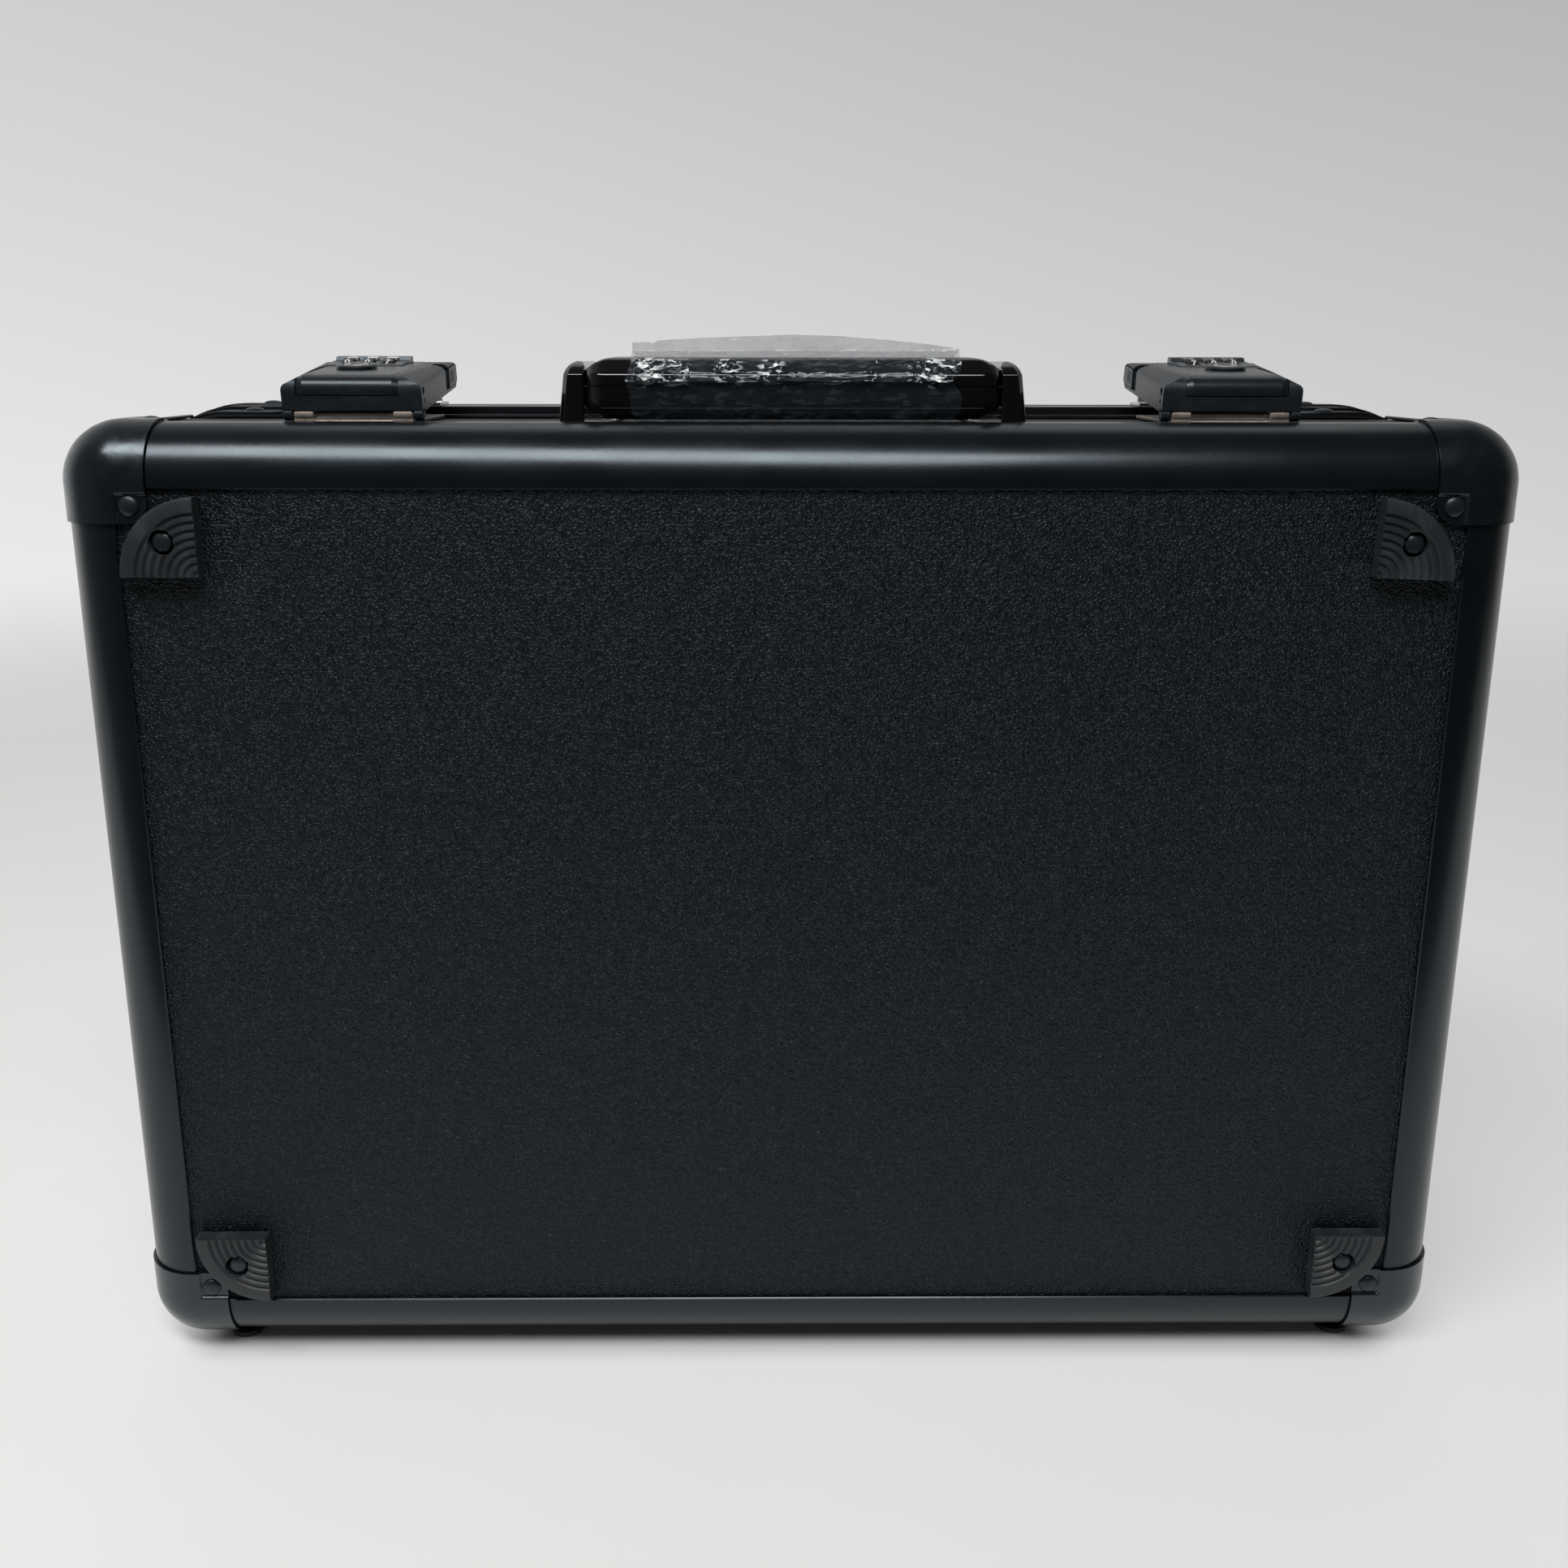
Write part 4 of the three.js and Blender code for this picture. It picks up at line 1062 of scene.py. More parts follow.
@dataclass
class CornerCaps:
    """The pressed caps on the eight outer corners, with a tab on each face."""

    proud: float = 1.0
    skin: float = 1.6
    ball_radius: float = 19.4
    tab_drop: float = 0.9
    tab_start: float = 20.3
    slope_lead: float = 0.2
    tab_slope: float = 1.1
    tab_corner: float = 6.5
    ball_steps: int = 9
    rivet_inset: float = 24.3
    rivet: RivetHead = field(default_factory=RivetHead)
    back_rivet_height: float = 0.85

    @property
    def centre(self) -> float:
        """How far the ball's centre is inside each outer face."""
        return self.ball_radius - self.proud

    @property
    def slope_start(self) -> float:
        """Where the step down to the tabs starts, from the ball's centre."""
        return self.tab_start - self.slope_lead - self.centre

    @property
    def round_start(self) -> float:
        """Where the tabs' rounded corners start, from the ball's centre."""
        return CAP_LENGTH - self.centre - self.tab_corner

    def lattice(self) -> list[float]:
        """Places along an edge, from the middle of the round to the cap's end.

        Returns:
            The places, from the ball's centre.
        """
        steps = [
            -self.ball_radius * math.tan(math.radians(45 * (1 - i / self.ball_steps)))
            for i in range(self.ball_steps)
        ]
        # Close rows on both sides of the step to the tabs keep it crisp
        slope = self.slope_start
        steps += [0.0, slope - 0.7, slope - 0.15, slope]
        steps += [slope + self.tab_slope * i / 5 for i in range(1, 6)] + [slope + 1.5]
        steps += [self.round_start + self.tab_corner * i / 6 for i in range(7)]
        return steps

    def surface_point(self, across: float, up: float) -> Vector:
        """A point of one face's third of the cap, from the centre of the ball.

        Args:
            across: the place along the face's first edge.
            up: the place along its second edge.

        Returns:
            The point, with the face's outward direction along -Z.
        """
        start = self.round_start
        if across > start and up > start:
            s, t = (across - start) / self.tab_corner, (up - start) / self.tab_corner
            across = start + self.tab_corner * s * math.sqrt(1 - t * t / 2)
            up = start + self.tab_corner * t * math.sqrt(1 - s * s / 2)
        lean = Vector((min(across, 0), min(up, 0), -self.ball_radius))
        point = lean.normalized() * self.ball_radius
        point += Vector((max(across, 0), max(up, 0), 0))
        low, high = self.slope_start, self.slope_start + self.tab_slope
        point.z += self.tab_drop * smooth_step(across, low, high) * smooth_step(up, low, high)
        return point

    def build(self) -> None:
        """Draws every cap and its rivets."""
        for shell in SHELLS:
            rivets = Draft()
            for label, side_x, side_z in CORNERS:
                place = corner_place(shell, side_x, side_z)
                self.draw_cap(f"{shell.body}_corner_cap_{label}", shell, place)
                self.draw_rivets(rivets, shell, place, side_z)
            made = rivets.to_object(f"{shell.body}_cap_rivets")
            placed(made, RIVET, shell.body, sharp=50)

    def draw_cap(self, node: str, shell: Shell, place: Matrix) -> None:
        """Draws one cap in place of its node.

        Args:
            node: the node.
            shell: the shell that carries it.
            place: the frame at its outer corner.
        """
        draft = Draft()
        steps = self.lattice()
        for turn in range(3):
            rows = []
            for across in steps:
                row = []
                for up in steps:
                    p = self.surface_point(across, up)
                    local = Vector((p[-turn % 3], p[(1 - turn) % 3], p[(2 - turn) % 3]))
                    row.append(place @ (local + Vector((self.centre,) * 3)))
                rows.append(draft.ring(row))
            draft.skin(rows, around=False)
        made = draft.to_object(f"{node}_fine")
        middle = place @ Vector((CAP_LENGTH,) * 3) * MM
        for polygon in made.data.polygons:
            if polygon.normal.dot(polygon.center - middle) < 0:
                polygon.flip()
        modified(made, "SOLIDIFY", thickness=self.skin * MM, offset=-1, use_even_offset=True)
        baked(made)
        bevelled(made, 0.28, 3, 60)
        placed(made, CAP, shell.body, [node], sharp=38)

    def draw_rivets(self, rivets: Draft, shell: Shell, place: Matrix, side_z: int) -> None:
        """Adds a cap's rivets; a stand foot takes the place of the lowest one.

        Args:
            rivets: the draft that they are added to.
            shell: the shell that carries them.
            place: the frame at the cap's outer corner.
            side_z: -1 for a bottom corner, 1 for a top one.
        """
        inset, surface = self.rivet_inset, self.tab_drop - self.proud
        spots = [
            (Vector((inset, surface, inset)), Vector((0, -1, 0))),
            (Vector((surface, inset, inset)), Vector((-1, 0, 0))),
        ]
        if side_z > 0:
            spots.append((Vector((inset, inset, surface)), Vector((0, 0, -1))))
        for spot, outward in spots:
            high = self.rivet.height
            if shell is LID and outward.y:
                high = self.back_rivet_height
            head = RivetHead(self.rivet.radius, high)
            head.draw(rivets, facing(place @ spot, place.to_3x3() @ outward))


@dataclass
class OpeningFrames:
    """The frames round the opening, with riveted brackets at their corners."""

    corner_radius: float = 28.2
    sink: float = 1.3
    inner: float = 6.5
    slot: float = 4.3
    flange: float = 4.0
    base_proud: float = 1.3
    lid_proud: float = 3.8
    crown: float = 0.45
    groove_shares: tuple[float, ...] = (0.30, 0.36, 0.64, 0.70)
    groove_depth: float = 0.5
    steps: int = 20
    bracket_reach: float = 24.0
    bracket_width: float = 9.6
    base_bracket_thick: float = 1.3
    lid_bracket_thick: float = 0.7
    bracket_chamfer: float = 0.35
    rivet_reach: float = 9.0
    under_share: float = 0.6
    hinge_room: float = 0.6
    leaf_room: float = 1.7

    def build(self) -> None:
        """Draws both frames and their brackets."""
        for shell, proud, thick, rivet in (
            (BASE, self.base_proud, self.base_bracket_thick, RivetHead(3.2, 1.05)),
            (LID, self.lid_proud, self.lid_bracket_thick, RivetHead(3.2, 0.9)),
        ):
            low, high = node_box(f"{shell.body}_frame")
            depths = sorted(shell.inward * (y - shell.face_y) for y in (low.y, high.y))
            self.draw_frame(shell, depths, proud)
            middle = (depths[0] + depths[1]) / 2
            self.draw_brackets(shell, middle, proud, thick, rivet)

    def corner_centre(self, side_x: int, side_z: int) -> Point:
        """The centre of one of the opening's rounded corners, in X and Z."""
        inset = self.sink + self.corner_radius
        return side_x * (HALF_WIDTH - inset), MID_Z + side_z * (HALF_HEIGHT - inset)

    def path(self) -> list[tuple[float, float, float, float]]:
        """At each station round the opening, its corner's centre and the direction outward.

        Returns:
            The stations, round the whole opening.
        """
        stations = []
        for corner, (side_x, side_z) in enumerate(QUARTERS):
            x, z = self.corner_centre(side_x, side_z)
            for step in range(self.steps + 1):
                angle = (corner + step / self.steps) * math.pi / 2
                stations.append((x, z, math.cos(angle), math.sin(angle)))
        return stations

    def draw_frame(self, shell: Shell, depths: Sequence[float], proud: float) -> None:
        """Draws one frame in place of its node.

        Args:
            shell: the shell that carries it.
            depths: where it starts and ends.
            proud: how far it stands out of the wall's skin.
        """
        start, end = depths
        crown = self.crown
        section = [(start, GAP), (start, proud - crown), (start + crown, proud)]
        if shell is LID:
            sunk = proud - self.groove_depth
            for share, out in zip(self.groove_shares, (proud, sunk, sunk, proud)):
                section.append((start + share * (end - start), out))
        section += [(end - crown, proud), (end, proud - crown), (end, -self.inner)]
        inner = end - 2 * self.flange
        section += [(inner, -self.inner), (inner, -self.slot), (end - self.flange, -self.slot)]
        section.append((end - self.flange, GAP))
        places = [
            lambda d, out, s=station: Vector(
                (
                    s[0] + (self.corner_radius + out) * s[2],
                    shell.y(d),
                    s[1] + (self.corner_radius + out) * s[3],
                )
            )
            for station in self.path()
        ]
        draft = Draft()
        draft.sweep(section, places, loop=True)
        made = draft.to_object(f"{shell.body}_frame_fine")
        self.cut_hinge_seat(made)
        bevelled(made, 0.15, 1, 50)
        placed(made, FRAME, shell.body, [f"{shell.body}_frame"], sharp=28)

    def cut_hinge_seat(self, made: bpy.types.Object) -> None:
        """Leaves room for the hinge's knuckles and leaves.

        Args:
            made: the frame.
        """
        low, high = node_box("hinge_leaf_base_with_pin")
        high_lid = node_box("hinge_leaf_lid")[1]
        axis_y = (low.y + high_lid.y) / 2
        reach = KNUCKLE_RADIUS + self.hinge_room
        left, right = low.x - GAP, high.x + GAP
        knuckle = Draft()
        knuckle.block((left, axis_y - reach, -2), (right, axis_y + reach, HINGE_AXIS_Z + reach))
        carved(made, knuckle)
        leaves = Draft()
        front, back = axis_y - self.leaf_room, axis_y + self.leaf_room
        leaves.block((left, front, HINGE_AXIS_Z + LEAF_RISE), (right, back, high.z + 1))
        carved(made, leaves)

    def draw_brackets(
        self, shell: Shell, middle: float, proud: float, thick: float, rivet: RivetHead
    ) -> None:
        """Draws a frame's four corner brackets and their rivets.

        Args:
            shell: the shell that carries them.
            middle: the depth of their middle line.
            proud: how far the frame stands out of the wall's skin.
            thick: the bracket's thickness.
            rivet: the head of each rivet.
        """
        brackets, rivets = Draft(), Draft()
        half, cut = self.bracket_width / 2, self.bracket_chamfer
        section = [(-half, -0.2), (half, -0.2), (half, thick - cut), (half - cut, thick)]
        section += [(-half + cut, thick), (-half, thick - cut)]
        for _, side_x, side_z in CORNERS:
            stations = self.bracket_stations(side_x, side_z, proud)
            places = []
            for spot, outward, share in stations:
                narrow = min(share, self.under_share) if outward.z < -0.9 else share
                places.append(
                    lambda d, out, s=spot, o=outward, n=narrow: s
                    + o * out
                    + Vector((0, shell.y(middle + d * n), 0))
                )
            brackets.sweep(section, places)
            for spot, outward, _ in (stations[2], stations[-3]):
                if outward.z < -0.5:
                    continue
                at = spot + outward * thick + Vector((0, shell.y(middle), 0))
                rivet.draw(rivets, facing(at, outward))
        made = brackets.to_object(f"{shell.body}_frame_brackets")
        bevelled(made, 0.12, 2, 40)
        placed(made, FRAME, shell.body, sharp=30)
        placed(rivets.to_object(f"{shell.body}_frame_rivets"), RIVET, shell.body, sharp=50)

    def bracket_stations(
        self, side_x: int, side_z: int, proud: float
    ) -> list[tuple[Vector, Vector, float]]:
        """Stations of a bracket, along the top or bottom, round the corner and down the side.

        Args:
            side_x: -1 for left, 1 for right.
            side_z: -1 for bottom, 1 for top.
            proud: how far the frame stands out of the wall's skin.

        Returns:
            For each station its place, its direction outward and its width's share.
        """
        x, z = self.corner_centre(side_x, side_z)
        centre, radius = Vector((x, 0, z)), self.corner_radius + proud
        along, down = Vector((-side_x, 0, 0)), Vector((0, 0, -side_z))
        up, out = -down, -along
        tip = self.bracket_reach
        arm = ((tip, 0.35), (tip - 2.5, 0.85), (self.rivet_reach, 1.0))
        stations = [(centre + up * radius + along * reach, up, share) for reach, share in arm]
        for i in range(self.steps + 1):
            angle = math.pi / 2 * i / self.steps
            outward = up * math.cos(angle) + out * math.sin(angle)
            stations.append((centre + outward * radius, outward, 1.0))
        for reach, share in reversed(arm):
            stations.append((centre + out * radius + down * reach, out, share))
        return stations


@dataclass
class PanelFeet:
    """The four quarter-disc feet, with ridges about their square corners."""

    radius: float = 24.0
    band: float = 4.3
    ridge_count: int = 8
    ridge_drop: float = 0.85
    ridge_shares: tuple[float, ...] = (0.34, 0.48, 0.70)
    hole_offset: float = 10.5
    hole_radius: float = 3.7
    rivet: RivetHead = field(default_factory=lambda: RivetHead(3.1, 1.2))
    rivet_sink: float = 0.7
    turn_steps: int = 30
    turned: dict[str, float] = field(default_factory=lambda: {"top_right": 2.5})

    def profile(self, thick: float) -> list[Point]:
        """The foot's section in (radius, height), from its square corner outward.

        Args:
            thick: the foot's thickness.

        Returns:
            The section's points.
        """
        pitch = (self.radius - self.band) / self.ridge_count
        low = thick - self.ridge_drop
        crest, fall, rise = (share * pitch for share in self.ridge_shares)
        points = [(0.0, 0.0)]
        for i in range(self.ridge_count):
            start = i * pitch
            points += [(start, thick), (start + crest, thick)]
            points += [(start + fall, low), (start + rise, low)]
        points.append((self.radius - self.band, thick))
        rim = self.radius
        points += [(rim - 0.9, thick), (rim - 0.3, thick - 0.25), (rim, thick - 0.9), (rim, 0.0)]
        return points

    def build(self) -> None:
        """Draws the feet and their rivets."""
        rivets = Draft()
        for label, side_x, side_z in CORNERS:
            node = f"panel_foot_{label}"
            low, high = node_box(node)
            thick = high.y - low.y
            turn = math.radians(self.turned.get(label, 0.0))
            corner_x = low.x if side_x > 0 else high.x
            corner_z = low.z + self.radius * math.sin(turn) if side_z > 0 else high.z
            columns = Matrix(((side_x, 0, 0), (0, 0, -1), (0, side_z, 0))).to_4x4()
            corner = Matrix.Translation((corner_x, high.y, corner_z))
            place = corner @ Matrix.Rotation(turn, 4, "Y") @ columns
            draft = Draft()
            draft.revolve(self.profile(thick), place, self.turn_steps, 90)
            made = draft.to_object(f"{node}_fine")
            seat = place @ Vector((self.hole_offset, self.hole_offset, 0.0))
            hole = Draft()
            bmesh.ops.create_cone(
                hole.mesh,
                cap_ends=True,
                segments=40,
                radius1=self.hole_radius,
                radius2=self.hole_radius + 0.25,
                depth=2 * thick + 6,
                matrix=facing(seat, (0, -1, 0)),
            )
            carved(made, hole)
            bevelled(made, 0.12, 2, 25)
            placed(made, FOOT, "base", [node], sharp=28)
            stem = thick - self.rivet_sink - self.rivet.height
            self.rivet.draw(rivets, facing(seat + Vector((0, -stem, 0)), (0, -1, 0)))
            shank = rod_profile(self.rivet.radius * 0.96, stem, start=0.05)
            rivets.revolve(shank, facing(seat, (0, -1, 0)), self.rivet.steps)
        placed(rivets.to_object("panel_foot_rivets"), RIVET, "base", sharp=50)


@dataclass
class StandFeet:
    """The rubber studs that the case stands on, each with its neck beside the cap."""

    tread: float = 5.6
    neck: float = 2.3
    neck_shift: float = 2.9
    neck_start: float = 1.0
    step_z: float = 2.2

    def build(self) -> None:
        """Draws each stud in place of its node."""
        for shell in SHELLS:
            for label, inward in (("left", 1), ("right", -1)):
                node = f"{shell.body}_stand_foot_{label}"
                low, high = node_box(node)
                middle = (low + high) / 2
                profile = [(0, low.z), (self.tread - 0.6, low.z), (self.tread, low.z + 0.45)]
                profile += [(self.tread, self.step_z - 0.35), (self.tread - 0.35, self.step_z)]
                profile.append((0, self.step_z))
                draft = Draft()
                draft.revolve(profile, Matrix.Translation((middle.x, middle.y, 0)), 40)
                made = draft.to_object(f"{node}_fine")
                stem = Draft()
                spot = (middle.x + inward * self.neck_shift, middle.y, 0)
                neck = rod_profile(self.neck, high.z, start=self.neck_start)
                stem.revolve(neck, Matrix.Translation(spot), 28)
                carved(made, stem, Cut.JOINED)
                placed(made, STUD, shell.body, [node], sharp=35)


def dress_sheets() -> None:
    """Dresses the pebbled sheets, whose flat shapes are the frame's own."""
    dress_node("base_panel", PEBBLE)
    dress_node("lid_panel", PEBBLE)
    dress_node("lid_wall_band", PEBBLE)
    for label in ("top", "bottom", "left", "right"):
        dress_node(f"base_wall_{label}", PEBBLE)


# Handle


@dataclass
class Handle:
    """The folding handle: two brackets, and the grip with its pivot pins.

    Lengths are in millimetres; x and z are the case's, and y is measured back from the
    base panel's skin, as for the latches.
    """

    flange_inner: float = 57.0
    bracket_inner: float = 65.4
    bracket_front: float = 23.0
    bracket_back: float = 74.5
    seat: float = 318.5
    half_length: float = 65.0
    top: float = 339.0
    bottom: float = 319.8
    front: float = 20.3
    back: float = 46.0
    arm_inner: float = 54.0
    arm_radius: float = 5.5
    pivot: Point = (66.0, 328.5)
    pin_radius: float = 2.0
    parting: float = 330.1
    parting_groove: float = 0.28

    def build(self) -> None:
        """Makes the handle's pieces."""
        for side, sign in (("left", -1), ("right", 1)):
            self.build_bracket(side, sign)
            self.build_flange(side, sign)
        self.build_grip()
        self.build_pins()

    def build_bracket(self, side: str, sign: int) -> None:
        """Makes one bracket's upright, chamfered along its front, its back and its top.

        Args:
            side: its side's name.
            sign: -1 on the left, 1 on the right.
        """
        levels = (
            # height, outer x, front y, back y, inner inset, chamfer
            (self.seat, 73.5, self.bracket_front, self.bracket_back, 0.0, 1.5),
            (326.0, 72.7, 23.6, 74.2, 0.0, 1.5),
            (333.6, 71.9, 24.3, 73.4, 0.0, 1.5),
            (335.0, 71.4, 26.0, 72.4, 0.0, 1.45),
            (336.2, 70.6, 27.7, 70.8, 0.0, 1.35),
            (337.0, 69.7, 29.6, 68.8, 0.55, 1.1),
            (337.6, 68.6, 32.4, 66.0, 1.2, 0.7),
        )
        draft = Draft()
        rings = []
        for z, outer, front, back, inset, chamfer in levels:
            inner = self.bracket_inner + inset
            outline = (
                (inner, front + 0.4), (inner + 0.4, front),
                (outer - chamfer, front), (outer, front + chamfer * 1.2),
                (outer, back - chamfer * 1.2), (outer - chamfer, back),
                (inner + 0.4, back), (inner, back - 0.4),
            )
            rings.append(draft.ring(Vector((sign * x, y + CASE_Y, z)) for x, y in outline))
        draft.solid(rings)
        bracket = draft.to_object(f"handle_bracket_{side}_upright")
        bore = Draft()
        place = self.across(sign * (self.bracket_inner - 2.0), sign)
        bore.revolve(rod_profile(self.pin_radius + 0.3, 6.0), place)
        carved(bracket, bore)
        bevelled(bracket, 0.28, 3, 14)
        placed(bracket, HANDLE, "base", [f"handle_bracket_{side}"], 30)

    def across(self, x: float, sign: int) -> Matrix:
        """A place on the pivot's axis whose local Z points outward."""
        y, z = self.pivot
        return Matrix.Translation((x, y + CASE_Y, z)) @ sideways(sign)

    def build_flange(self, side: str, sign: int) -> None:
        """Makes one bracket's foot, with the heads of its two screws.

        Args:
            side: its side's name.
            sign: -1 on the left, 1 on the right.
        """
        low_x, high_x = sorted((sign * self.flange_inner, sign * (self.bracket_inner + 1)))
        front, back = self.bracket_front + 0.5 + CASE_Y, self.bracket_back - 0.5 + CASE_Y
        foot = Draft()
        foot.block((low_x, front, self.seat), (high_x, back, self.seat + 1.0))
        made = foot.to_object(f"handle_bracket_{side}_foot")
        bevelled(made, 0.3, 3)
        placed(made, HANDLE, "base")
        heads = Draft()
        head = RivetHead(2.1, 0.7)
        for y in (51.5, 60.0):
            spot = (sign * (self.flange_inner + 3.6), y + CASE_Y, self.seat + 0.95)
            head.draw(heads, Matrix.Translation(spot))
        placed(heads.to_object(f"handle_bracket_{side}_screws"), RIVET, "base")

    def side_profile(self) -> list[Point]:
        """The grip's outline in (y, z) at its middle, with the arms' reach at the back.

        Returns:
            The outline's points.
        """
        y, z = self.pivot
        top, arm_top, arm_low = self.top, z + self.arm_radius, z - self.arm_radius
        facet = [(self.front + 0.1, 333.4), (self.front + 0.35, 333.85)]
        facet += [(self.front + 0.35 + 5.2 * i / 6, 333.85 + 4.0 * i / 6) for i in range(1, 7)]
        crown = [(26.4, 338.25), (27.4, 338.5), (29.0, 338.8), (31.0, 338.95)]
        flat = [(32.0 + i, top) for i in range(0, 8)]
        tenths = [i / 10 for i in range(1, 11)]
        fall = [(39 + 9 * t, top - (top - arm_top) * smooth_step(t, 0, 1)) for t in tenths]
        arm = [(50.0 + 2.5 * i, arm_top) for i in range(7)]
        end = arc((y, z), self.arm_radius, 90, -90, 16)
        under = [(64.0 - 2.5 * i, arm_low) for i in range(7)]
        drop, shares = arm_low - self.bottom, (0.0, 0.15, 0.3, 0.45, 0.6, 0.75, 0.9, 1.0)
        lift = [(47 - 6 * t, arm_low - drop * smooth_step(t, 0, 1)) for t in shares]
        floor = [(40.0 - 1.7 * i, self.bottom) for i in range(1, 8)]
        nose = arc((self.front + 6.0, self.bottom + 6.0), 6.0, 270, 180, 12)
        wall = [(self.front, 325.8 + 0.95 * i) for i in range(1, 8)]
        return facet + crown + flat + fall + arm + end + under + lift + floor + nose + wall

    def front_at(self, x: float) -> float:
        """Where the front wall is at x: it turns back at the two ends."""
        left = max(self.half_length - abs(x), 0.0) / 9.0
        return max(self.front, self.front - 0.5 + 7.5 * (1 - math.sqrt(min(left, 1.0))) ** 2)

    def back_at(self, x: float) -> float:
        """Where the back wall is at x: it runs out into the two arms.

        Args:
            x: the place across the case.

        Returns:
            The place in y.
        """
        reach = abs(x)
        if reach <= self.arm_inner:
            bend = max(reach - (self.arm_inner - 8), 0.0) / 8
            return self.back + 6 * (1 - math.sqrt(max(1 - bend**2, 0.0)))
        return self.back + 6 + (reach - self.arm_inner) / 3 * 21

    def crown_at(self, x: float) -> float:
        """The most height at x: the top falls away towards the ends."""
        return self.top + 0.1 - 4.1 * (max(abs(x) - 50, 0.0) / 15) ** 3.2

    def floor_at(self, x: float) -> float:
        """The least height at x: the underside rises towards the ends."""
        return self.bottom - 1 + 5.0 * (max(abs(x) - 40, 0.0) / 25) ** 3

    def build_grip(self) -> None:
        """Makes the grip from sections along X, with the groove where its halves meet."""
        profile = self.side_profile()
        far = 40.0
        middle = [float(x) for x in range(0, 46, 5)] + [46.0 + 0.8 * i for i in range(12)]
        ends = [self.half_length - 9.0 * (1 - i / 14) ** 2 for i in range(15)]
        half = middle + [x for x in ends if x > middle[-1] + 0.1]
        stations = [-x for x in reversed(half[1:])] + half
        draft = Draft()
        rings = []
        for x in stations:
            front, back = self.front_at(x), self.back_at(x)
            crown, floor = self.crown_at(x), self.floor_at(x)
            ring = []
            for y, z in profile:
                if y < far:
                    y = front + (y - self.front) * (far - front) / (far - self.front)
                y = min(y, back)
                ring.append(Vector((x, y + CASE_Y, min(max(z, floor), crown))))
            rings.append(draft.ring(ring))
        draft.solid(rings)
        draft.tidy(0.02)
        self.cut_parting(draft)
        grip = draft.to_object("handle_grip_shells")
        placed(grip, HANDLE, "handle", ["handle_grip"], 24)

    def cut_parting(self, draft: Draft) -> None:
        """Cuts the fine groove where the grip's upper and lower halves meet.

        Args:
            draft: the grip.
        """
        mesh = draft.mesh
        for z in (self.parting - 0.22, self.parting, self.parting + 0.22):
            sliced(mesh, (0, 0, z), (0, 0, 1), 0.01)
        mesh.normal_update()
        line = [v for v in mesh.verts if abs(v.co.z - self.parting) < 0.02]
        moves = [Vector((v.normal.x, v.normal.y, 0)).normalized() for v in line]
        for vert, move in zip(line, moves):
            vert.co -= move * self.parting_groove

    def build_pins(self) -> None:
        """Makes the two pivot pins, with their heads inside the brackets."""
        draft = Draft()
        radius, start = self.pin_radius, self.half_length - 4
        end = self.bracket_inner + 3.2 - start
        profile = ((0, 0), (radius, 0), (radius, end - 0.4), (radius - 0.4, end), (0, end))
        for sign in (-1, 1):
            draft.revolve(profile, self.across(sign * start, sign), 24)
        placed(draft.to_object("handle_pivot_pins"), ZINC, "handle")


